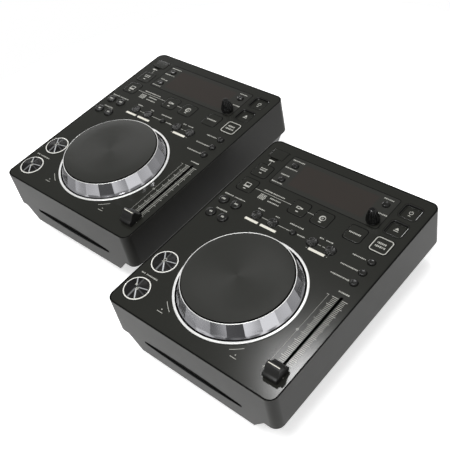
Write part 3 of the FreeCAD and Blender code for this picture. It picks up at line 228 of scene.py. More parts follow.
def feed(tree, socket, value):
    # a number or a colour is set on the socket, and anything else is linked to it
    if isinstance(value, (int, float)):
        socket.default_value = value
    elif isinstance(value, tuple):
        socket.default_value = value if len(value) == len(socket.default_value) else (*value, 1.0)
    elif value is not None:
        tree.links.new(value, socket)


def mathNode(tree, operation, first, second=None, clamp=False):
    # one arithmetic step: each value is a socket or a number
    node = tree.nodes.new("ShaderNodeMath")
    node.operation = operation
    node.use_clamp = clamp
    feed(tree, node.inputs[0], first)
    feed(tree, node.inputs[1], second)
    return node.outputs[0]


def vectorNode(tree, operation, first, second=None):
    # one step on a vector: second is a socket or three numbers
    node = tree.nodes.new("ShaderNodeVectorMath")
    node.operation = operation
    feed(tree, node.inputs[0], first)
    feed(tree, node.inputs[1], second)
    return node.outputs["Value" if operation == "LENGTH" else "Vector"]


def scaledColour(tree, colour, factor):
    # a colour times a number
    node = tree.nodes.new("ShaderNodeVectorMath")
    node.operation = "SCALE"
    feed(tree, node.inputs[0], colour)
    feed(tree, node.inputs["Scale"], factor)
    return node.outputs[0]


def noiseNode(tree, vector, scale, detail, roughness=0.55):
    # cloudy noise from 0 to 1
    node = tree.nodes.new("ShaderNodeTexNoise")
    for label, value in (("Detail", detail), ("Roughness", roughness), ("Scale", scale), ("Vector", vector)):
        feed(tree, node.inputs[label], value)
    return node.outputs["Fac"]


def rangeNode(tree, value, low, high, newLow=0.0, newHigh=1.0):
    # value carried from low...high to newLow...newHigh
    node = tree.nodes.new("ShaderNodeMapRange")
    labels = ("Value", "From Min", "From Max", "To Min", "To Max")
    for label, setting in zip(labels, (value, low, high, newLow, newHigh)):
        feed(tree, node.inputs[label], setting)
    return node.outputs["Result"]


def swing(tree, noise, amount):
    # how far a noise is from its middle value, times an amount
    return mathNode(tree, "MULTIPLY", mathNode(tree, "SUBTRACT", noise, 0.5), amount)


def mixColour(tree, amount, first, second):
    # first where amount is 0 and second where it's 1
    node = tree.nodes.new("ShaderNodeMix")
    node.data_type = "RGBA"
    for number, value in ((0, amount), (6, first), (7, second)):
        feed(tree, node.inputs[number], value)
    return node.outputs[2]


# moulded plastic: fine grain in the height, slow drift in the tone and the gloss, and settled specks of dust
moulded, taken, given = makeGroup("moulded plastic", (0.05, 0.05, 0.05), {
    "Grain Scale": 1500.0, "Drift": 0.12, "Gloss": 0.4, "Gloss Drift": 0.08, "Dust": 0.02})
place = taken.outputs["Vector"]
grain = noiseNode(moulded, place, taken.outputs["Grain Scale"], 2.0)
drift = noiseNode(moulded, place, 22.0, 4.0)
smear = noiseNode(moulded, place, 55.0, 5.0, 0.65)
speck = rangeNode(moulded, noiseNode(moulded, place, 900.0, 1.0), 0.73, 0.8)
toned = swing(moulded, drift, taken.outputs["Drift"])
toned = mathNode(moulded, "ADD", mathNode(moulded, "ADD", toned, 1.0), swing(moulded, grain, 0.22))
tinted = scaledColour(moulded, taken.outputs["Base"], toned)
dusty = mathNode(moulded, "MULTIPLY", speck, taken.outputs["Dust"])
moulded.links.new(mixColour(moulded, dusty, tinted, (0.5, 0.49, 0.46)), given.inputs["Color"])
smeared = swing(moulded, smear, taken.outputs["Gloss Drift"])
rough = mathNode(moulded, "ADD", taken.outputs["Gloss"], smeared)
moulded.links.new(mathNode(moulded, "ADD", rough, dusty, clamp=True), given.inputs["Roughness"])
bumps = mathNode(moulded, "MULTIPLY", speck, 0.5)
moulded.links.new(mathNode(moulded, "ADD", grain, bumps), given.inputs["Height"])

# worn metal: hair-fine lines, wiping marks and a slow drift of tone
metal, taken, given = makeGroup("worn metal", (0.7, 0.7, 0.72), {
    "Line Scale": 600.0, "Drift": 0.06, "Gloss": 0.12, "Gloss Drift": 0.08})
place = taken.outputs["Vector"]
fine = noiseNode(metal, place, taken.outputs["Line Scale"], 3.0)
wiped = noiseNode(metal, place, 70.0, 5.0, 0.7)
slow = noiseNode(metal, place, 30.0, 2.0)
toned = mathNode(metal, "ADD", 1.0, swing(metal, slow, taken.outputs["Drift"]))
metal.links.new(scaledColour(metal, taken.outputs["Base"], toned), given.inputs["Color"])
smeared = swing(metal, wiped, taken.outputs["Gloss Drift"])
rough = mathNode(metal, "ADD", taken.outputs["Gloss"], smeared, clamp=True)
metal.links.new(rough, given.inputs["Roughness"])
metal.links.new(fine, given.inputs["Height"])


def newMaterial(name, metallic=0.0, specular=0.5, coat=0.0, coatRough=0.05, anisotropic=0.0):
    # a material with its shader, whose constant values are set on its own sockets
    material = bpy.data.materials.new(name)
    material.use_nodes = True
    tree = material.node_tree
    shader = tree.nodes["Principled BSDF"]
    for label, value in (("Metallic", metallic), ("Specular IOR Level", specular), ("Coat Weight", coat),
                         ("Coat Roughness", coatRough), ("Anisotropic", anisotropic)):
        shader.inputs[label].default_value = value
    return material, tree, shader


bumpDepth = {"grain": 0.00005, "fine": 0.00002}


def addBump(tree, shader, height, strength, depth, lean=0.0):
    # lean adds that much of straight up to the normal, so that upright faces shine with what is higher up
    bump = tree.nodes.new("ShaderNodeBump")
    bump.inputs["Strength"].default_value = strength
    bump.inputs["Distance"].default_value = depth
    tree.links.new(height, bump.inputs["Height"])
    normal = bump.outputs["Normal"]
    if lean:
        normal = vectorNode(tree, "NORMALIZE", vectorNode(tree, "ADD", normal, (0.0, 0.0, lean)))
    tree.links.new(normal, shader.inputs["Normal"])


def finishMaterial(name, group, base, amounts, bump, lean=0.0, **shaderValues):
    # a material whose colour, roughness and bumps come from one of the two groups
    material, tree, shader = newMaterial(name, **shaderValues)
    place = tree.nodes.new("ShaderNodeTexCoord")
    node = tree.nodes.new("ShaderNodeGroup")
    node.node_tree = group
    node.inputs["Base"].default_value = (*base, 1.0)
    for label, value in amounts.items():
        node.inputs[label].default_value = value
    tree.links.new(place.outputs["Object"], node.inputs["Vector"])
    tree.links.new(node.outputs["Color"], shader.inputs["Base Color"])
    tree.links.new(node.outputs["Roughness"], shader.inputs["Roughness"])
    addBump(tree, shader, node.outputs["Height"], bump, bumpDepth["grain"], lean)
    return material


def plastic(name, base, scale, drift, gloss, glossDrift, bump, dust, **shaderValues):
    amounts = {"Grain Scale": scale, "Drift": drift, "Gloss": gloss, "Gloss Drift": glossDrift, "Dust": dust}
    return finishMaterial(name, moulded, base, amounts, bump, **shaderValues)


def bareMetal(name, base, scale, drift, gloss, glossDrift, bump, metallic=1.0, lean=0.0):
    amounts = {"Line Scale": scale, "Drift": drift, "Gloss": gloss, "Gloss Drift": glossDrift}
    return finishMaterial(name, metal, base, amounts, bump, lean, metallic=metallic)


# base colour, scale of the grain or of the lines, drift, roughness, its drift, bump, and a plastic's dust
looks = {
    "case": plastic("case plastic", (0.0225, 0.0223, 0.02), 1300, 0.08, 0.32, 0.05, 0.1, 0.02, specular=0.11),
    "panel": plastic("panel plastic", (0.0215, 0.022, 0.019), 1900, 0.08, 0.165, 0.03, 0.03, 0.02,
                     specular=0.3),
    "key": plastic("key plastic", (0.02, 0.0205, 0.0175), 2200, 0.08, 0.18, 0.03, 0.02, 0.02, specular=0.3),
    "round key": plastic("round key plastic", (0.0105, 0.0105, 0.0095), 2200, 0.06, 0.24, 0.04, 0.01, 0.0,
                         specular=0.4),
    "well": plastic("glossy well wall", (0.004, 0.004, 0.004), 2200, 0.06, 0.1, 0.03, 0.02, 0.01,
                    specular=0.7),
    "cap": plastic("slider cap plastic", (0.012, 0.012, 0.0115), 1700, 0.1, 0.42, 0.06, 0.08, 0.02,
                   specular=0.35),
    "knob": plastic("selector knob plastic", (0.005, 0.005, 0.005), 1700, 0.1, 0.15, 0.04, 0.03, 0.0,
                    specular=0.55),
    "print": plastic("pale print", (0.47, 0.47, 0.43), 2600, 0.08, 0.55, 0.05, 0.03, 0.0),
    "ivory": plastic("ivory bars", (0.74, 0.72, 0.64), 2200, 0.04, 0.45, 0.05, 0.03, 0.0),
    "ring": plastic("frosted light ring", (0.92, 0.91, 0.86), 1800, 0.04, 0.3, 0.05, 0.03, 0.0, coat=0.3),
    # black sheets that stand for the shade in gaps, grooves, recess walls and slots: painted shade
    "gap": plastic("black painted shade", (0.0035, 0.0035, 0.0035), 1600, 0.2, 0.9, 0.05, 0.2, 0.01,
                   specular=0.05),
    "rubber": plastic("foot rubber", (0.012, 0.012, 0.012), 1500, 0.2, 0.82, 0.08, 0.3, 0.08),
    "steel": plastic("blackened steel sheet", (0.03, 0.03, 0.031), 900, 0.14, 0.42, 0.1, 0.1, 0.05,
                     metallic=0.35),
    "board": plastic("circuit board lacquer", (0.012, 0.075, 0.03), 800, 0.2, 0.32, 0.1, 0.08, 0.03),
    "socket": plastic("socket moulding", (0.014, 0.014, 0.014), 1600, 0.1, 0.35, 0.06, 0.08, 0.02),
    "chrome": bareMetal("satin chrome", (0.66, 0.66, 0.69), 300, 0.03, 0.19, 0.015, 0.001, lean=0.27),
    "base ring": bareMetal("pale base ring", (0.9, 0.9, 0.885), 900, 0.03, 0.28, 0.03, 0.004, metallic=0.3),
    "bright": bareMetal("bright steel", (0.62, 0.61, 0.6), 700, 0.08, 0.22, 0.1, 0.02),
    "zinc": bareMetal("zinc steel", (0.46, 0.46, 0.45), 500, 0.18, 0.36, 0.14, 0.04),
}

# the display's face behind each window: its middle, where its soft edges end and start, and two tones
displayField = {"middle": (-1.0, 104.5), "across": (0.0505, 0.0475), "along": (0.0195, 0.0165),
                "dark": (0.0290, 0.0293, 0.0260), "warm": (0.0350, 0.0287, 0.0250)}


def awayFrom(tree, value, middle):
    # |value - middle|
    return mathNode(tree, "ABSOLUTE", mathNode(tree, "SUBTRACT", value, float(middle)))


def windowMaterial():
    # smoked clear acrylic over a dark display: a faint warm field where the display's face lies
    material, tree, shader = newMaterial("smoked window", specular=0.45, coat=0.35, coatRough=0.03)
    place = tree.nodes.new("ShaderNodeTexCoord")
    parts = tree.nodes.new("ShaderNodeSeparateXYZ")
    tree.links.new(place.outputs["Object"], parts.inputs["Vector"])
    field = None
    for player in players:
        middle = at(player, *displayField["middle"])
        sideways = awayFrom(tree, parts.outputs["X"], middle[0])
        lengthways = awayFrom(tree, parts.outputs["Y"], middle[1])
        inside = mathNode(tree, "MULTIPLY", rangeNode(tree, sideways, *displayField["across"]),
                          rangeNode(tree, lengthways, *displayField["along"]))
        field = inside if field is None else mathNode(tree, "MAXIMUM", field, inside)
    cloud = noiseNode(tree, place.outputs["Object"], 40.0, 3.0)
    field = mathNode(tree, "MULTIPLY", field, rangeNode(tree, cloud, 0.2, 0.8, 0.7, 1.0))
    tone = mixColour(tree, field, displayField["dark"], displayField["warm"])
    tree.links.new(tone, shader.inputs["Base Color"])
    wipe = noiseNode(tree, place.outputs["Object"], 70.0, 5.0, 0.7)
    tree.links.new(rangeNode(tree, wipe, 0.25, 0.75, 0.05, 0.11), shader.inputs["Roughness"])
    addBump(tree, shader, noiseNode(tree, place.outputs["Object"], 400.0, 2.0), 0.01, bumpDepth["fine"])
    return material


def spunMaterial(name, middle, spun):
    # a turned surface: fine rings about its middle, whose shine runs round them and so gathers in spokes, and
    # on the cue and play keys painted highlights: bright rays at set angles in the base colour, each brightest
    # along its middle
    material, tree, shader = newMaterial(name, metallic=spun["metallic"], specular=spun["specular"],
                                         anisotropic=spun["anisotropic"])
    place = tree.nodes.new("ShaderNodeTexCoord")
    offset = vectorNode(tree, "SUBTRACT", place.outputs["Object"], tuple(map(float, middle)))
    offset = vectorNode(tree, "MULTIPLY", offset, (1.0, 1.0, 0.0))
    around = vectorNode(tree, "NORMALIZE", vectorNode(tree, "CROSS_PRODUCT", offset, (0.0, 0.0, 1.0)))
    tree.links.new(around, shader.inputs["Tangent"])
    distance = vectorNode(tree, "LENGTH", offset)
    rings = mathNode(tree, "SINE", mathNode(tree, "MULTIPLY", distance, 2 * math.pi / spun["pitch"]))
    mottle = noiseNode(tree, offset, 90.0, 4.0)
    tree.links.new(rangeNode(tree, mottle, 0.2, 0.8, *spun["roughness"]), shader.inputs["Roughness"])
    hollow, crest = [tuple(share * part for part in spun["base"]) for share in (0.92, 1.08)]
    colour = mixColour(tree, rangeNode(tree, rings, -1.0, 1.0), hollow, crest)
    if spun["rays"]:
        parts = tree.nodes.new("ShaderNodeSeparateXYZ")
        tree.links.new(offset, parts.inputs["Vector"])
        angle = mathNode(tree, "ARCTAN2", parts.outputs["Y"], parts.outputs["X"])
        paintedRayMask = None
        for degrees, width, strength in spun["rays"]:
            # a painted highlight ray lies where the way across it is under its width in millimetres,
            # on the side it points to
            turn = mathNode(tree, "SUBTRACT", angle, math.radians(degrees))
            aside = mathNode(tree, "MULTIPLY", mathNode(tree, "SINE", turn), distance)
            across = mathNode(tree, "ABSOLUTE", aside)
            ahead = mathNode(tree, "GREATER_THAN", mathNode(tree, "COSINE", turn), 0.0)
            narrow = rangeNode(tree, across, 0.2 * width * mm, width * mm, 1.0, 0.0)
            one = mathNode(tree, "MULTIPLY", mathNode(tree, "MULTIPLY", narrow, ahead), strength)
            paintedRayMask = one if paintedRayMask is None else mathNode(tree, "MAXIMUM", paintedRayMask, one)
        clear = rangeNode(tree, distance, 0.0008, 0.0030)  # no ray reaches the very middle
        paintedRayMask = mathNode(tree, "MULTIPLY", paintedRayMask, clear)
        colour = mixColour(tree, paintedRayMask, colour, spun["paintedHighlightColour"])
    tree.links.new(colour, shader.inputs["Base Color"])
    addBump(tree, shader, rings, spun["depth"], bumpDepth["fine"])
    return material


looks["window"] = windowMaterial()
print("materials made:", len(looks))


# CAD copies with softened edges

softEdge = {"sharpFrom": 32, "flat": 0.6}  # degrees: bevelled above the first, faces joined below the other


def softened(name, node, material, width, segments):
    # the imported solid's own mesh, welded, its flat faces joined, with a small bevel along its sharp edges
    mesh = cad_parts[node].data.copy()
    mesh.name = name
    mesh.materials.clear()
    mesh.materials.append(material)
    shape = bmesh.new()
    shape.from_mesh(mesh)
    bmesh.ops.remove_doubles(shape, verts=shape.verts, dist=weld["solid"])
    bmesh.ops.dissolve_limit(shape, angle_limit=math.radians(softEdge["flat"]), verts=shape.verts,
                             edges=shape.edges, delimit={"NORMAL"})
    layers = shape.edges.layers.float
    weights = layers.get("bevel_weight_edge") or layers.new("bevel_weight_edge")
    for face in shape.faces:
        face.smooth = True
        face.material_index = 0
    for edge in shape.edges:
        if len(edge.link_faces) == 2 and edge.calc_face_angle(0) > math.radians(softEdge["sharpFrom"]):
            edge[weights] = 1.0
    shape.to_mesh(mesh)
    shape.free()
    piece = placed(name, mesh)
    bevel = piece.modifiers.new("soft edges", "BEVEL")
    bevel.width = width * mm
    bevel.segments = segments
    bevel.limit_method = "WEIGHT"
    bevel.use_clamp_overlap = True
    level = piece.modifiers.new("level faces", "WEIGHTED_NORMAL")
    level.mode = "FACE_AREA"
    level.weight = 100
    level.thresh = 0.01
    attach(piece, "housing")
    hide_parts(node)


# jog wheels

jogWheel = {"along": -55.8, "flutes": 23, "dip": 0.80, "turn": {"right": 2.0, "left": 5.0},
            "skirtLow": (64.8, 1.0), "skirtHigh": (58.95, 16.9), "skirtRows": 18, "perFlute": 16,
            "roundEnd": (0.16, 0.15), "plateRadius": 57.0, "plateTop": 18.5}
touchPlate = {"base": (0.0235, 0.0240, 0.0210), "metallic": 0.0, "specular": 0.20, "anisotropic": 0.45,
              "pitch": 0.0006, "roughness": (0.40, 0.46), "depth": 0.04, "rays": []}
steps = np.linspace(0, 1, jogWheel["skirtRows"])
low, high = np.array(jogWheel["skirtLow"]), np.array(jogWheel["skirtHigh"])
# from the side: the base ring, the fluted skirt, its rim, the walls inside it and its bore
baseRing = [(69.4, 0.6), (69.4, 0.75), (69.3, 0.95), (69.05, 1.12), (68.7, 1.18), (67.2, 1.18), (66.95, 1.12),
            (66.8, 0.95), (66.75, 0.65), (65.0, 0.65)]
skirt = (low + (high - low) * steps[:, None]).tolist()
inside = [(high[0] - 0.10, 17.15), (high[0] - 0.35, 17.3), (58.3, 17.3), (58.05, 17.2), (57.95, 17.0),
          (57.9, 16.7), (57.9, 14.0), (0.0, 14.0), (0.0, 12.0), (8.05, 12.0), (8.05, -2.0), (14.0, -2.0),
          (14.0, 12.0), (56.7, 12.0), (62.9, 0.6)]
first, last = len(baseRing), len(baseRing) + len(skirt)
ringRows, rimRows = 7, 4
columns = jogWheel["flutes"] * jogWheel["perFlute"]
for player in players:

    def scooped(radius, height, angle):
        # each hollow draws the radius in by dip times (1 - (2u)^2 - past^2), never outwards, where u runs
        # from -1/2 to 1/2 across one hollow and past grows towards the foot, so that its lower end is round
        angle = angle - math.radians(jogWheel["turn"][player])
        u = (angle * jogWheel["flutes"] / (2 * np.pi)) % 1.0 - 0.5
        row = np.zeros((radius.shape[0], 1))
        row[first:last, 0] = steps
        end, stretch = jogWheel["roundEnd"]
        past = np.clip((end - row) / stretch, 0, None)
        bowl = np.clip(1 - (2 * np.abs(u)) ** 2 - past ** 2, 0, 1)
        return radius - jogWheel["dip"] * bowl, height

    middle = at(player, 0, jogWheel["along"])
    points, faces = closedTurned(baseRing + skirt + inside, middle, columns, scooped)
    # pale base ring, the floor of its groove painted black as shade, chrome skirt, pale rim, a chrome step,
    # and the inside painted black as shade
    row = np.arange(len(faces)) // columns
    ends = (ringRows, first, last, last + rimRows, last + rimRows + 1)
    picks = np.select([row < end for end in ends], [1, 2, 0, 1, 0], 2)
    nodePiece(player, "jog_skirt", "jog_ring", points, faces, "chrome", 13,
              ["base ring", "gap"], picks)
    # the plate's turned face, with its side wall painted black as shade, which shows as a dark line inside the
    # rim
    radius, top = jogWheel["plateRadius"], jogWheel["plateTop"]
    plate = [(0.0, top), (20.0, top), (40.0, top), (radius - 0.7, top), (radius - 0.3, top - 0.06),
             (radius - 0.05, top - 0.22), (radius, top - 0.4), (radius, 16.9), (20.0, 16.9), (20.0, 14.45),
             (18.0, 14.45), (18.0, 16.9), (0.0, 16.9)]
    points, faces = turned(plate, middle, smooth["plate"])
    wallTop = middles[player][2] + (top - 0.35) * mm
    picks = [0 if np.mean(points[face, 2]) > wallTop else 1 for face in faces]
    look = player + " plate"
    looks[look] = spunMaterial(player + " touch plate", middle, touchPlate)
    nodePiece(player, "touch_plate", "jog_plate", points, faces, look, 50, ["gap"], picks)
print("jog wheels made")


# tempo sliders

sliderCap = {"across": 92.3, "along": -115.3, "width": 16.4, "half": 10.0, "low": 1.2, "edge": 5.2,
             "ridge": 13.7, "soft": 0.45, "stem": (1.6, 6.0, -8.5), "line": (13.4, 0.95)}


def capProfile():
    # the cap from the side: a ridge with round shoulders, then a hollow slope whose height falls as
    # (1 - s)^1.9 to a round toe over a set-back foot
    ridge, edge, half, low = [sliderCap[key] for key in ("ridge", "edge", "half", "low")]
    side = [(0.0, ridge), (1.2, ridge), (1.9, ridge - 0.12), (2.5, ridge - 0.5), (2.9, ridge - 1.1)]
    for step in np.linspace(0.0, 1.0, 16):
        side.append((3.0 + 5.4 * step, edge + 1.2 + (ridge - edge - 2.6) * (1 - step) ** 1.9))
    side += [(half - 1.0, edge + 1.0), (half - 0.5, edge + 0.7), (half - 0.15, edge + 0.1),
             (half, edge - 0.8), (half, 3.0), (half - 0.6, 2.7), (half - 0.6, low + 0.4), (half - 0.8, low)]
    return np.array(side + [(-y, z) for y, z in side[::-1]][:-1])


def sweptSideways(outline, stations, middle):
    # an outline in the upright plane (along, up), carried across: at each station it's drawn in by its inset
    following = np.roll(outline, -1, 0) - outline
    leading = outline - np.roll(outline, 1, 0)
    tangent = sum(way / np.linalg.norm(way, axis=1, keepdims=True) for way in (following, leading))
    tangent /= np.linalg.norm(tangent, axis=1, keepdims=True)
    inward = np.stack([-tangent[:, 1], tangent[:, 0]], -1)
    area = np.sum(outline[:, 0] * np.roll(outline[:, 1], -1) - np.roll(outline[:, 0], -1) * outline[:, 1])
    inward = inward if area > 0 else -inward
    count = len(outline)
    loops = [np.column_stack([np.full(count, across), outline + inward * inset])
             for across, inset in stations]
    return np.vstack(loops) * mm + np.asarray(middle), cappedFaces(len(stations), count)


def softStations(half, edge):
    # places across a piece with two round ends: the inset is edge (1 - cos) where the place is edge sin along
    turns = np.linspace(0, math.pi / 2, 4)
    right = [(half - edge + edge * math.sin(turn), edge * (1 - math.cos(turn))) for turn in turns]
    left = [(-across, inset) for across, inset in right[::-1]]
    return left + right


for player in players:
    middle = at(player, sliderCap["across"], sliderCap["along"])
    shell = sweptSideways(capProfile(), softStations(sliderCap["width"] / 2, sliderCap["soft"]), middle)
    width, length, low = sliderCap["stem"]
    stem = stacked([(width, length, 0.4, low), (width, length, 0.4, sliderCap["low"] + 0.5)], middle, 4)
    points, faces = merged([shell, stem])
    nodePiece(player, "fader_cap", "slider_cap", points, faces, "cap", 35)
    width, length = sliderCap["line"]
    heights = sliderCap["ridge"] - 0.03, sliderCap["ridge"] + 0.015
    points, faces = stacked([(width, length, 0.3, height) for height in heights], middle, 3)
    meshPiece(player + "_fader_line", points, faces, "ivory", player + "_slider_cap")
print("sliders made")


# selector knobs

selector = {"place": (61.3, 88.0), "ridges": 16, "perRidge": 10, "dip": 0.95}
# from the side: widest just above the foot, then drawing in to a small crown
foot = [(3.05, 1.0), (6.2, 1.0), (6.8, 1.15), (7.05, 1.5), (7.2, 2.0)]
grip = [(7.7, 3.0), (7.75, 4.0), (7.65, 5.0), (7.4, 6.1), (7.05, 7.3), (6.65, 8.6), (6.2, 10.0), (5.75, 11.4),
        (5.3, 12.8), (4.85, 14.1), (4.45, 15.3), (4.05, 16.3), (3.7, 17.0)]
crown = [(3.3, 17.45), (2.9, 17.7), (2.3, 17.8), (1.4, 17.8), (0.0, 17.8), (0.0, 11.2), (3.05, 11.2)]


def fluted(radius, height, angle):
    # hollows between sharp ridges: the radius draws in by dip times |sin(half the ridge angle)|, fading in
    # above the foot and out towards the crown
    bowl = np.abs(np.sin(angle * selector["ridges"] / 2))
    fadeIn, fadeOut = np.linspace(0.4, 3.0, len(grip)), np.linspace(1.0, 0.62, len(grip))
    mask = np.zeros((radius.shape[0], 1))
    mask[len(foot):len(foot) + len(grip), 0] = np.clip(fadeIn, 0, 1) * fadeOut
    mask[len(foot) + len(grip)] = 0.45
    return radius - selector["dip"] * bowl * mask, height


for player in players:
    middle, columns = at(player, *selector["place"]), selector["ridges"] * selector["perRidge"]
    points, faces = closedTurned(foot + grip + crown, middle, columns, fluted)
    nodePiece(player, "selector_grip", "selector_knob", points, faces, "knob", 32)
print("selector knobs made")


# keys: each cap stands on a lip that stays under the panel

lip = {"low": -4.1, "high": -3.1, "reach": 1.2}
squareKey = {"size": 20.7, "corner": 3.8, "top": 0.3, "edge": 0.3, "lip": 1.45}
squarePlaces = {"usb_stop_button": (-88.8, 90.3), "link_button": (-88.6, 63.6), "usb_button": (-15.8, 63.6),
                "disc_button": (14.4, 63.6), "playlist_button": (56.0, 63.8), "bpm_lock_button": (87.2, 63.9)}
wellKey = {"size": 16.5, "corner": 2.2, "top": -2.0, "edge": 0.4, "lip": 1.3}
wellPlaces = {"power_button": (87.3, 118.6), "eject_button": (87.3, 91.0)}
roundKey = {"radius": 6.2, "top": 1.9, "flutes": 10, "perFlute": 12, "dip": 0.7}
smallKey = {"radius": 4.2, "top": 2.2}
dotKey = {"radius": 3.5, "top": 1.9}
dotPlace = (0.0, 31.2)
groovedKeys = ("loop_keys", "beat_loop_keys")
roundPlaces = {
    "display_keys": (smallKey, [(-60.4, 115.2), (-60.4, 89.6)]),
    "back_button": (smallKey, [(59.8, 115.2)]),
    "track_search_keys": (roundKey, [(-96.7, 31.3), (-79.2, 31.3)]),
    "search_keys": (roundKey, [(-96.7, 8.6), (-79.2, 8.6)]),
    "loop_keys": (roundKey, [(-49.4, 31.2), (-27.2, 31.2)]),
    "beat_loop_keys": (roundKey, [(25.0, 31.2), (47.9, 31.2)]),
    "mode_keys": (smallKey, [(91.6, 39.9), (91.6, 24.1), (91.6, 9.0)]),
}
transportPlaces = {"cue_button": (-90.0, -73.1), "play_button": (-90.0, -115.3)}


def flatKey(player, name, spot, look):
    # rounded squares from the lip up over a soft edge to a face that dips slightly
    size, corner, top = look["size"], look["corner"], look["top"]
    wide, wideCorner = size + 2 * look["lip"], corner + look["lip"]
    rows = [(wide, wide, wideCorner, lip["low"]), (wide, wide, wideCorner, lip["high"]),
            (size, size, corner, lip["high"])]
    rows += roundedOver(size, corner, top, look["edge"], lip["high"] + 0.1)
    rows.append((size - 2.6, size - 2.6, max(corner - 1.3, 0.6), top))
    rows.append((size - 5.0, size - 5.0, max(corner - 2.5, 0.4), top - 0.05))
    points, faces = stacked(rows, at(player, *spot), 7)
    nodePiece(player, name + "_cap", name, points, faces, "key", 40)


def roundFoot(radius):
    # the lip under a round cap, up to the foot of its side
    wide = radius + lip["reach"]
    return [(0.0, lip["low"]), (wide, lip["low"]), (wide, lip["high"]), (radius, lip["high"])]


def roundCap(player, look, spot, grooved):
    # a turned cap: a straight side, a soft rim and a face that sinks a little to its middle
    radius, top = look["radius"], look["top"]
    profile = roundFoot(radius) + [(radius, 0.3)]
    first = len(profile)
    profile += [(radius - 0.05, 0.6), (radius - 0.35, top - 0.55), (radius - 0.5, top - 0.28),
                (radius - 0.8, top - 0.08)]
    last = len(profile)
    profile += [(radius - 1.2, top), (radius - 1.9, top - 0.03), (radius * 0.45, top - 0.14),
                (radius * 0.2, top - 0.17), (0.0, top - 0.18)]

    def serrated(radii, heights, angle):
        # hollows over the rim: the radius draws in, and the top sinks, with ((1 + cos(flutes angle)) / 2)^2
        hollow = ((1 + np.cos(angle * roundKey["flutes"])) / 2) ** 2
        mask, sink = np.zeros((radii.shape[0], 1)), np.zeros((radii.shape[0], 1))
        mask[first:last + 1] = 1.0
        sink[last - 1:last + 3, 0] = (0.25, 0.45, 0.5, 0.35)
        return radii - roundKey["dip"] * hollow * mask, heights - sink * hollow

    if grooved:
        return turned(profile, at(player, *spot), roundKey["perFlute"] * roundKey["flutes"], serrated)
    return turned(profile, at(player, *spot), smooth["small key"])


wellFrame = {"hairline": (22.9, 5.3), "outer": (22.0, 4.9), "inner": (18.9, 3.4), "low": 0.012, "proud": 0.03,
             "deep": 2.45, "perCorner": 9}
hairline, outer = wellFrame["hairline"], wellFrame["outer"]
wide, corner = wellFrame["inner"]
low, proud, deep = wellFrame["low"], wellFrame["proud"], wellFrame["deep"]
# size, corner and height of each loop, and the material of the band above it: a hairline outside painted
# black as shade, a flat frame, a glossy chamfer that steepens, then the wall, also painted black as shade
frameLoops = [(*hairline, -0.05, 1), (*hairline, low, 1), (*outer, low, 0), (*outer, proud, 0),
              (wide + 1.35, corner + 0.67, proud, 2), (wide + 0.7, corner + 0.35, -0.115, 2),
              (wide + 0.45, corner + 0.22, -0.22, 2), (wide + 0.25, corner + 0.12, -0.36, 2),
              (wide + 0.1, corner + 0.05, -0.54, 1), (wide, corner, -0.75, 1), (wide, corner, -deep, 1),
              (wide + 0.6, corner + 0.3, -deep + 0.05, 1)]
sizes, corners, heights, bandLooks = zip(*frameLoops)
perCorner = wellFrame["perCorner"]
for player in players:
    for name, spot in wellPlaces.items():
        loops = [roundedLoop(size, size, corner, perCorner) + np.array(spot)
                 for size, corner in zip(sizes, corners)]
        points, faces = band(loops, heights)
        picks = np.repeat(bandLooks, 4 * perCorner)
        meshPiece(f"{player}_{name}_frame", points * mm + at(player), faces, "panel", "housing",
                  sharp=12, extra=["gap", "well"], picks=picks)
    for name, spot in squarePlaces.items():
        flatKey(player, name, spot, squareKey)
    for name, spot in wellPlaces.items():
        flatKey(player, name, spot, wellKey)
    for name, (look, spots) in roundPlaces.items():
        caps = [roundCap(player, look, spot, name in groovedKeys) for spot in spots]
        if name == "loop_keys":
            caps.append(roundCap(player, dotKey, dotPlace, False))
        points, faces = merged(caps)
        nodePiece(player, name + "_caps", name, points, faces, "round key", 40)
print("keys made")


# cue and play keys, and their light rings

transport = {"radius": 13.2, "rim": 1.3, "dome": 0.9}
# each painted highlight ray, a bright stripe in the base colour: the way it points in degrees, its width in
# millimetres and its strength
spunKey = {"base": (0.0105, 0.0105, 0.0105), "metallic": 0.15, "specular": 0.22, "anisotropic": 0.8,
           "pitch": 0.0005, "roughness": (0.20, 0.28), "depth": 0.03,
           "rays": [(128.7, 0.95, 0.62), (96.0, 1.3, 0.08), (18.0, 0.85, 0.5), (-13.5, 1.1, 0.06),
                    (-55.0, 0.95, 0.75), (-90.0, 1.5, 0.22)],
           "paintedHighlightColour": (0.88, 0.90, 0.92)}
radius, rim, dome = transport["radius"], transport["rim"], transport["dome"]
profile = roundFoot(radius)
profile += [(radius, 0.9), (radius - 0.1, 1.15), (radius - 0.35, rim), (radius - 0.8, rim - 0.02)]
profile += [(radius - 0.8 - (radius - 2.6) * step, rim - 0.02 + dome * step)
            for step in np.linspace(0.1, 1, 6)]
profile += [(1.4, rim + dome), (0.0, rim + dome)]
for player in players:
    for name, spot in transportPlaces.items():
        points, faces = turned(profile, at(player, *spot), smooth["transport key"])
        finish = f"{player} {name.replace('_', ' ')} spun gloss"
        # each key's material carries painted highlight rays in its base colour
        looks[player + name] = spunMaterial(finish, at(player, *spot), spunKey)
        nodePiece(player, name + "_disc", name, points, faces, player + name, 40)
# a pale hoop standing in a wider seat painted black as shade, which is the profile's first sides
hoop = [(13.65, -3.0), (15.6, -3.0), (15.6, -0.35), (14.98, -0.35), (14.98, 0.1), (14.9, 0.28), (14.7, 0.4),
        (13.95, 0.4), (13.75, 0.3), (13.65, 0.1)]
columns, seatSides = smooth["transport key"], 3
rings = [closedTurned(hoop, at(player, *spot), columns)
         for player in players for spot in transportPlaces.values()]
points, faces = merged(rings)
picks = (np.arange(len(faces)) // columns % len(hoop) < seatSides).astype(int)
meshPiece("pale_light_rings", points, faces, "ring", "housing", ["light_rings"], 40,
          ["gap"], picks)


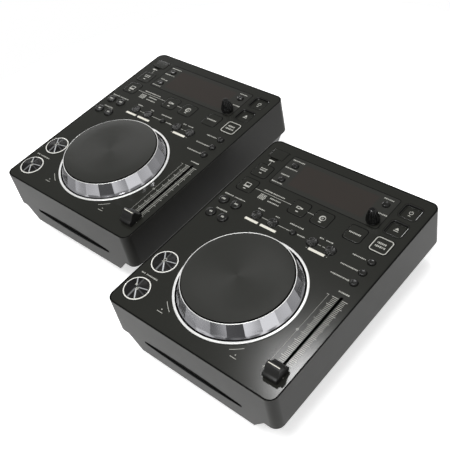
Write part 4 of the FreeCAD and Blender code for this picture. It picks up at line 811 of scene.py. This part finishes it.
# caps of the memory ports

portCap = {"place": (-89.3, 122.0), "width": 20.0, "length": 15.0, "thick": 2.4, "top": 0.6, "soft": 0.4,
           "pin": 0.7, "pinHalf": 11.1}


def arcPoints(middle, radius, turns):
    # points round a middle: radius times (sin, cos) of each turn
    return [(middle[0] + radius * math.sin(turn), middle[1] + radius * math.cos(turn)) for turn in turns]


x, y = portCap["place"]
thick, top, pinHalf = portCap["thick"], portCap["top"], portCap["pinHalf"]
front, back = y - portCap["length"] / 2, y + portCap["length"] / 2
# from the side: a flat plate whose rear end is round about its hinge and whose front lip is softened
hinge = (back - thick / 2, top - thick / 2)
side = arcPoints(hinge, thick / 2, np.linspace(0, math.pi, 11))
side += [(front + 0.4, top - thick), (front, top - thick + 0.4), (front, top - 0.5),
         (front + 0.15, top - 0.15), (front + 0.5, top)]
pin = arcPoints(hinge, portCap["pin"], np.linspace(0, 2 * math.pi, 17)[:-1])
for player in players:
    plate = sweptSideways(np.array(side), softStations(portCap["width"] / 2, portCap["soft"]), at(player, x))
    pins = sweptSideways(np.array(pin), [(-pinHalf, 0.0), (pinHalf, 0.0)], at(player, x))
    points, faces = merged([plate, pins])
    nodePiece(player, "port_flap", "port_cap", points, faces, "key", 14)
print("cue, play, rings and port caps made")


# printed marks: thin slabs that stand a few hundredths of a millimetre proud of what they are printed on

printed = {"proud": 0.03, "sunk": 0.03, "wordHigh": 1.9, "wordGap": 0.7}


def barMark(x0, y0, x1, y1, wide):
    # a straight mark: the four corners half its width to each side of its line
    start, end = np.array([x0, y0], float), np.array([x1, y1], float)
    side = np.array([-(end - start)[1], (end - start)[0]])
    side *= wide / 2 / np.linalg.norm(side)
    return [np.array([start - side, end - side, end + side, start + side])]


def boxMark(x, y, width, depth, corner):
    # a filled box with round corners
    return [roundedLoop(width, depth, corner, 5) + np.array([x, y])]


def wordMark(x0, x1, y, seed, high=printed["wordHigh"]):
    # a row of short dashes where a word stands: widths and heights drawn at random, with even gaps
    draw = np.random.default_rng(seed)
    widths, heights = draw.uniform(0.7, 1.5, 40), draw.uniform(0.6, 1.0, 40) * high / 2
    starts = x0 + np.concatenate([[0.0], np.cumsum(widths + printed["wordGap"])[:-1]])
    fits = starts + widths <= x1 + 0.3
    dashes = zip(starts[fits], widths[fits], heights[fits])
    return [np.array([[a, y - h], [a + b, y - h], [a + b, y + h], [a, y + h]]) for a, b, h in dashes]


def arcMark(x, y, radius, wide, first, last, steps=20):
    # a bent mark: the outer arc out and the inner arc back
    turns = np.radians(np.linspace(first, last, steps))
    spokes = np.stack([np.cos(turns), np.sin(turns)], -1)
    return [np.vstack([spokes * (radius + wide / 2), spokes[::-1] * (radius - wide / 2)]) + np.array([x, y])]


def hoopParts(width, depth, corner, wide, x, y, low, high):
    # an outline drawn round a box, as a band with its inside edge set in by its width
    outer = roundedLoop(width, depth, corner, 7) + np.array([x, y])
    inner = roundedLoop(width - 2 * wide, depth - 2 * wide, corner - wide, 7) + np.array([x, y])
    return band([outer, outer, inner, inner], [low, high, high, low])


def arrowMark(x, y, way, stop=True):
    # a skip sign: two triangles that point one way, with a bar at their end for a skip and none for a search
    size, reach = 1.5, way * 1.5 * 1.25
    triangle = np.array([[0, -size], [0, size], [reach, 0]])
    marks = [triangle + np.array([x + reach * number, y]) for number in (-1, 0)]
    if stop:
        edge = x + reach + way * 0.35
        marks += barMark(edge, y - size, edge, y + size, 0.6)
    return marks


def marksPiece(name, player, marks, body, look, top=0.0, parts=()):
    # the flat marks drawn up into slabs, with any outlined boxes, as one piece
    slabs = [prism(outline, top - printed["sunk"], top + printed["proud"]) for outline in marks]
    points, faces = merged(slabs + list(parts))
    meshPiece(f"{player}_{name}", points * mm + at(player), faces, look, body, sharp=30)


# legends on the panel and its window: start, end, place along, and a number that varies the dashes
legends = [
    (-69, -52.5, 123.5, 1), (-70, -52.5, 109.5, 2), (-67.5, -55.5, 98.0, 3), (-70, -56, 84.0, 4),
    (52.5, 65, 123.5, 5), (59, 69, 101.5, 6), (-67, -37, 67.3, 7), (-53, -38, 59.7, 8), (-53, -38, 54.6, 9),
    (-103, -91, 41.0, 10), (-89, -74.5, 41.0, 11), (-96, -81, 17.8, 12), (-54.5, -45, 41.0, 13),
    (-30.5, -24.5, 41.0, 14), (-11, 8, 41.0, 15), (5.5, 15.5, 31.8, 16), (28, 34, 40.8, 17),
    (36, 44.5, 40.8, 18), (69, 86, 40.0, 19), (65.5, 86, 24.0, 20), (64, 86, 9.0, 21), (85, 98, -6.8, 22),
    (-101.5, -96, -96.0, 23), (-94.5, -78.5, -96.0, 24)]
# lines: from and to, and width
lines = [
    (-77.0, 63.7, -27.0, 63.7, 0.45), (-5.0, 63.7, 3.4, 63.7, 0.45), (-42.3, 31.7, -33.8, 31.7, 0.5),
    (-20.2, 31.7, -4.5, 31.7, 0.5), (32.0, 31.7, 35.5, 31.7, 0.5), (37.5, 31.7, 41.0, 31.7, 0.5),
    (-89.0, 100.8, -89.0, 106.5, 0.5), (79.0, -15.0, 79.0, -115.0, 0.22), (76.8, -15.3, 79.6, -15.3, 0.45),
    (76.8, -115.3, 79.6, -115.3, 0.45), (78.2, -116.7, 78.2, -113.9, 0.45), (23.4, 22.2, 24.6, 22.2, 0.6),
    (48.9, 22.2, 50.1, 22.2, 0.6), (49.5, 21.6, 49.5, 22.8, 0.6), (44.5, -124.0, 52.0, -124.0, 0.6),
    (-52.0, -124.0, -44.5, -124.0, 0.6)]
# the scale beside the tempo slot: each tick's two stretches and its width, a long one at every fifth step
tempoScale = {"first": -15.3, "last": -115.3, "step": 2.0, "every": 5,
              "long": ([(83.0, 90.3), (94.3, 100.8)], 0.60), "short": ([(84.6, 90.3), (94.3, 99.4)], 0.42)}
# pale bars before the jog wheel: place across and width
ivoryBars = {"along": 22.4, "depth": 3.2, "bars": [(-49.75, 18.5), (-27.0, 22.0), (36.5, 21.0)]}
# the turning signs round the jog wheel: bent lines on a circle, each side's middle angle from the front
turnSigns = {"radius": 74.5, "wide": 0.55, "aside": 37.5, "half": 5.5}

# signs on the keys: the height they stand at, their flat marks, and outlined boxes
flatTop, wellTop, roundTop = squareKey["top"] - 0.05, wellKey["top"] - 0.05, roundKey["top"] - 0.17
discTop = transport["rim"] + transport["dome"] + 0.01
low, high = flatTop - printed["sunk"], flatTop + printed["proud"]
rimHigh = squareKey["top"] + printed["proud"]
playSign = np.array([[-93.7, -114.0], [-93.7, -110.8], [-90.9, -112.4]])
ejectSign = np.array([[84.9, 91.6], [89.7, 91.6], [87.3, 94.9]])
keySigns = {
    "usb_stop_button": (flatTop, wordMark(-93.5, -84.0, 94.0, 31) + wordMark(-93.0, -84.5, 91.2, 32)
                        + barMark(-90.6, 86.3, -87.2, 86.3, 1.2), []),
    "link_button": (flatTop, barMark(-92.6, 60.9, -84.6, 60.9, 1.4) + barMark(-90.5, 57.3, -87.1, 57.3, 1.2),
                    [hoopParts(7.6, 5.2, 0.6, 0.8, -88.6, 64.4, low, high)]),
    "usb_button": (flatTop, boxMark(-13.0, 64.2, 2.6, 1.9, 0.2) + barMark(-17.5, 58.4, -14.1, 58.4, 1.2),
                   [hoopParts(5.4, 3.4, 0.6, 0.8, -17.2, 64.2, low, high)]),
    "disc_button": (flatTop, arcMark(14.4, 64.2, 3.1, 1.5, 60, 300) + arcMark(14.4, 64.2, 3.4, 0.6, -58, 58)
                    + arcMark(14.4, 64.2, 0.8, 0.5, 0, 359, 16) + barMark(12.7, 58.4, 16.1, 58.4, 1.2), []),
    "playlist_button": (flatTop, wordMark(48.3, 63.0, 64.0, 33, 2.2), []),
    "bpm_lock_button": (flatTop, wordMark(81.2, 92.6, 66.2, 34, 3.0) + wordMark(81.0, 93.2, 61.6, 35, 3.0),
                        [hoopParts(20.2, 20.2, 3.6, 1.15, 87.2, 63.9, low, rimHigh)]),
    "power_button": (wellTop, arcMark(87.3, 119.8, 2.1, 0.6, 115, 425)
                     + barMark(87.3, 120.3, 87.3, 122.8, 0.6) + barMark(85.9, 115.4, 88.7, 115.4, 0.9), []),
    "eject_button": (wellTop, [ejectSign] + barMark(84.5, 89.9, 90.1, 89.9, 1.0), []),
    "track_search_keys": (roundTop, arrowMark(-96.7, 31.6, -1) + arrowMark(-79.2, 31.6, 1), []),
    "search_keys": (roundTop, arrowMark(-96.7, 8.9, -1, False) + arrowMark(-79.2, 8.9, 1, False), []),
    "cue_button": (discTop, arcMark(-90.0, -71.6, 1.7, 0.6, 0, 359, 24)
                   + barMark(-91.9, -74.6, -88.1, -74.6, 0.8), []),
    "play_button": (discTop, [playSign] + barMark(-88.8, -118.2, -88.8, -115.0, 0.9)
                    + barMark(-87.0, -118.2, -87.0, -115.0, 0.9), []),
}

for player in players:
    marks = []
    for start, end, along, seed in legends:
        marks += wordMark(start, end, along, seed)
    for line in lines:
        marks += barMark(*line)
    stations = np.arange(tempoScale["first"], tempoScale["last"] - 0.1, -tempoScale["step"])
    for number, along in enumerate(stations):
        stretches, wide = tempoScale["short" if number % tempoScale["every"] else "long"]
        for start, end in stretches:
            marks += barMark(start, along, end, along, wide)
    # a memory stick's outline by the flap, and the ring for nought beside the scale
    marks += boxMark(-91.4, 109.2, 5.0, 2.2, 0.4) + boxMark(-87.4, 109.2, 2.2, 1.4, 0.2)
    marks += arcMark(78.7, -65.3, 1.05, 0.6, 0, 359, 24)
    for side in (-1, 1):
        angle = side * turnSigns["aside"] - 90
        first, last = angle - turnSigns["half"], angle + turnSigns["half"]
        marks += arcMark(0, jogWheel["along"], turnSigns["radius"], turnSigns["wide"], first, last)
        marks += boxMark(side * 48.5, -120.5, 1.3, 1.3, 0.6)
    # a patch of fine dashes beside the source legends
    for number, along in enumerate(np.arange(53.6, 60.6, 1.65)):
        marks += wordMark(-66.6, -57.2, along, 60 + number, 1.35)
    marksPiece("legends", player, marks, "housing", "print")
    marks = []
    for across, width in ivoryBars["bars"]:
        marks += boxMark(across, ivoryBars["along"], width - 0.9, ivoryBars["depth"], 0.6)
    marksPiece("pale_bars", player, marks, "housing", "ivory")
    for name, (top, marks, parts) in keySigns.items():
        marksPiece(name + "_sign", player, marks, f"{player}_{name}", "print", top, parts)
print("printed marks made")


# painted shade in the joints: black sheets in the gaps round the panel, its window and its square keys,
# and lining the tempo slot

# each gap's middle line as width, length and corner, and the painted shade's width across it
joint = {"panel": (216.2, 283.1, 8.8, 1.3), "window": (142.3, 49.0, 3.0, 0.85), "windowAt": (-0.65, 104.5),
         "key": (21.575, 21.575, 3.9375, 0.825), "slot": (2.2, 106.6), "slotAlong": -65.3,
         "slotGrow": (1.0, -0.24, 0.0)}


def paintedShadeBand(gap, x, y, low, high):
    # a closed band of painted shade whose width lies half to each side of a box's edge
    width, length, corner, wide = gap
    return hoopParts(width + wide, length + wide, corner + wide / 2, wide, x, y, low, high)


parts = [paintedShadeBand(joint["panel"], 0, 0, -0.05, 0.02)]
width, length = joint["slot"]
spot = np.array([sliderCap["across"], joint["slotAlong"]])
outside, edge, wall = [roundedLoop(width + grow, length + grow, (width + grow) / 2 - 0.05, 7) + spot
                       for grow in joint["slotGrow"]]
parts.append(band([outside, outside, edge, edge, wall, wall], [-0.03, 0.02, 0.02, -3.0, -3.0, -0.03]))
parts.append(paintedShadeBand(joint["window"], *joint["windowAt"], -0.04, 0.012))
for x, y in squarePlaces.values():
    parts.append(paintedShadeBand(joint["key"], x, y, -0.25, 0.012))
points, faces = merged(parts)
for player in players:
    meshPiece(player + "_painted_shade_joints", points * mm + at(player), faces, "gap", "housing",
              sharp=30)

discSlot = {"front": -142.7, "halfWidth": 63.0, "halfHeight": 1.6, "drop": 43.7, "lipLong": 3.0,
            "lipHigh": 0.6, "belly": 3.4, "deep": 4.0, "lining": 0.15}


def mouthLoop(halfWidth, halfHeight, belly=0.0):
    # round the slot by s, which runs from one end to the other and back: the half height closes as a circle
    # over the last stretch, and the belly swells the middle by 1 - s * s
    s = np.sin(np.linspace(np.pi / 2, -np.pi / 2, 41))
    closing = np.clip((np.abs(s) * halfWidth - halfWidth + halfHeight) / halfHeight, 0.0, 1.0)
    high = (halfHeight + belly * (1 - s * s)) * np.sqrt(1 - closing * closing)
    upper = np.column_stack([s * halfWidth, high])
    return np.vstack([upper, (upper * (1, -1))[::-1][1:-1]])


# a black mouth round the disc slot, painted shade for its recess: its outline carried over the front face and
# into the slot
wide, high, deep, lining = [discSlot[key] for key in ("halfWidth", "halfHeight", "deep", "lining")]
mouth = mouthLoop(wide + discSlot["lipLong"], high + discSlot["lipHigh"], discSlot["belly"])
within, rim = mouthLoop(wide - lining, high - lining), mouthLoop(wide, high)
points, faces = band([mouth, mouth, within, within, rim, rim], [0.02, -0.03, -0.03, deep, deep, 0.02])
points = np.column_stack([points[:, 0], discSlot["front"] + points[:, 2], points[:, 1] - discSlot["drop"]])
faces = [face[::-1] for face in faces]
for player in players:
    meshPiece(player + "_disc_slot_painted_shade", points * mm + at(player), faces, "gap", "housing",
              sharp=30)
print("painted shade in joints and disc slots made")


# cases, panels and chassis

for player in players:
    softened(player + "_shell", player + "_case", looks["case"], 0.6, 3)
    softened(player + "_fascia_panel", player + "_top_panel", looks["panel"], 0.22, 2)
    softened(player + "_steel_tub", player + "_lower_chassis", looks["steel"], 0.25, 2)
cadLooks = {"display_lenses": "window", "jog_bearings": "zinc", "circuit_boards": "board",
            "disc_drives": "zinc", "rear_sockets": "socket", "rubber_feet": "rubber", "screws": "zinc",
            "left_selector_shaft": "bright", "right_selector_shaft": "bright"}
for node, look in cadLooks.items():
    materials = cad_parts[node].data.materials
    materials.clear()
    materials.append(looks[look])
print("cases, panels and chassis made")


# floor, light

floorLook = {"reach": 0.55, "sides": 96, "tone": 0.93, "glow": 0.62}


def makeFloor():
    # a pale disc under the players, which glows for the camera and for reflections but lights nothing
    material, tree, shader = newMaterial("pale floor", specular=0.1)
    shader.inputs["Base Color"].default_value = (floorLook["tone"],) * 3 + (1,)
    shader.inputs["Roughness"].default_value = 0.9
    rays = tree.nodes.new("ShaderNodeLightPath")
    glossy = mathNode(tree, "MAXIMUM", rays.outputs["Is Glossy Ray"], rays.outputs["Is Transmission Ray"])
    seen = mathNode(tree, "MAXIMUM", rays.outputs["Is Camera Ray"], glossy)
    glow = tree.nodes.new("ShaderNodeEmission")
    glow.inputs["Color"].default_value = (1, 1, 1, 1)
    tree.links.new(mathNode(tree, "MULTIPLY", seen, floorLook["glow"]), glow.inputs["Strength"])
    both = tree.nodes.new("ShaderNodeAddShader")
    tree.links.new(shader.outputs[0], both.inputs[0])
    tree.links.new(glow.outputs[0], both.inputs[1])
    tree.links.new(both.outputs[0], tree.nodes["Material Output"].inputs["Surface"])
    mesh = bpy.data.meshes.new("floor")
    sides, reach = floorLook["sides"], floorLook["reach"]
    turns = np.linspace(0, 2 * np.pi, sides, endpoint=False)
    rim = raised(reach * np.column_stack([np.cos(turns), np.sin(turns)]), 0.0)
    mesh.from_pydata(rim.tolist(), [], [list(range(sides))])
    mesh.materials.append(material)
    floor = placed("floor", mesh)


# the room's walls by their bearing in degrees, each with its brightness, and how bright it is higher up
studio = {"bands": [(-180, 0.20), (-160, 0.26), (-137, 0.40), (-116, 0.36), (-98, 0.26), (-84, 0.10),
                    (-64, 0.06), (-50, 0.12), (-38, 0.40), (-24, 2.10), (-9, 1.30), (8, 0.75), (32, 0.46),
                    (58, 0.20), (95, 0.40), (130, 0.22), (180, 0.20)],
          "wall": 0.18, "ceiling": 0.36, "wallFrom": (0.44, 0.58), "ceilingFrom": (0.78, 0.86), "level": 1.0}


def makeWorld():
    # a studio room: soft panels and darker gaps round the walls, a dark upper wall, and a pale ceiling
    world = bpy.context.scene.world or bpy.data.worlds.new("studio")
    bpy.context.scene.world = world
    world.use_nodes = True
    tree = world.node_tree
    tree.nodes.clear()
    place = tree.nodes.new("ShaderNodeTexCoord")
    parts = tree.nodes.new("ShaderNodeSeparateXYZ")
    tree.links.new(place.outputs["Generated"], parts.inputs["Vector"])
    bearing = mathNode(tree, "ARCTAN2", parts.outputs["Y"], parts.outputs["X"])
    curve = tree.nodes.new("ShaderNodeValToRGB")
    tree.links.new(rangeNode(tree, bearing, -math.pi, math.pi), curve.inputs["Fac"])
    curve.color_ramp.interpolation = "B_SPLINE"
    stops = curve.color_ramp.elements
    for degrees, level in studio["bands"]:
        end = {-180: 0, 180: -1}.get(degrees)
        stop = stops.new((degrees + 180) / 360) if end is None else stops[end]
        stop.color = (level, level, level, 1)
    wall = rangeNode(tree, parts.outputs["Z"], *studio["wallFrom"])
    ceiling = rangeNode(tree, parts.outputs["Z"], *studio["ceilingFrom"])
    banded = tree.nodes.new("ShaderNodeRGBToBW")
    tree.links.new(curve.outputs["Color"], banded.inputs["Color"])
    low = mathNode(tree, "MULTIPLY", banded.outputs[0], mathNode(tree, "SUBTRACT", 1.0, wall))
    upper = rangeNode(tree, ceiling, 0.0, 1.0, studio["wall"], studio["ceiling"])
    high = mathNode(tree, "MULTIPLY", wall, upper)
    level = mathNode(tree, "MULTIPLY", mathNode(tree, "ADD", low, high), studio["level"])
    rays = tree.nodes.new("ShaderNodeLightPath")
    room = tree.nodes.new("ShaderNodeBackground")
    tree.links.new(level, room.inputs["Strength"])
    white = tree.nodes.new("ShaderNodeBackground")
    pick = tree.nodes.new("ShaderNodeMixShader")
    out = tree.nodes.new("ShaderNodeOutputWorld")
    for backdrop in (room, white):
        backdrop.inputs["Color"].default_value = (1, 1, 1, 1)
    tree.links.new(rays.outputs["Is Camera Ray"], pick.inputs["Fac"])
    tree.links.new(room.outputs[0], pick.inputs[1])
    tree.links.new(white.outputs[0], pick.inputs[2])
    tree.links.new(pick.outputs[0], out.inputs["Surface"])


def areaLight(name, place, target, size, power):
    # a rectangular lamp that faces its target
    data = bpy.data.lights.new(name, "AREA")
    data.shape = "RECTANGLE"
    data.size, data.size_y = size
    data.energy = power
    lamp = placed(name, data)
    lamp.location = place
    lamp.rotation_euler = (Vector(target) - Vector(place)).to_track_quat("-Z", "Y").to_euler()


makeFloor()
makeWorld()
# name, place, what it points at, size, power
lamps = [("key softbox", (-0.5070, 0.6060, 1.74), (0.250, -0.146, 0.09), (0.17, 0.17), 4.8),
         ("front overhead", (0.15, -0.65, 1.90), (0.0, 0.0, 0.0), (1.2, 1.0), 27),
         ("window", (-1.53, 1.09, 0.55), (0.2, 0.08, 0.08), (0.9, 0.35), 9),
         ("front fill", (-0.5, -2.2, 0.7), (0.0, 0.0, 0.05), (1.4, 0.8), 1.5)]
for lamp in lamps:
    areaLight(*lamp)
print("floor, room and lamps made")
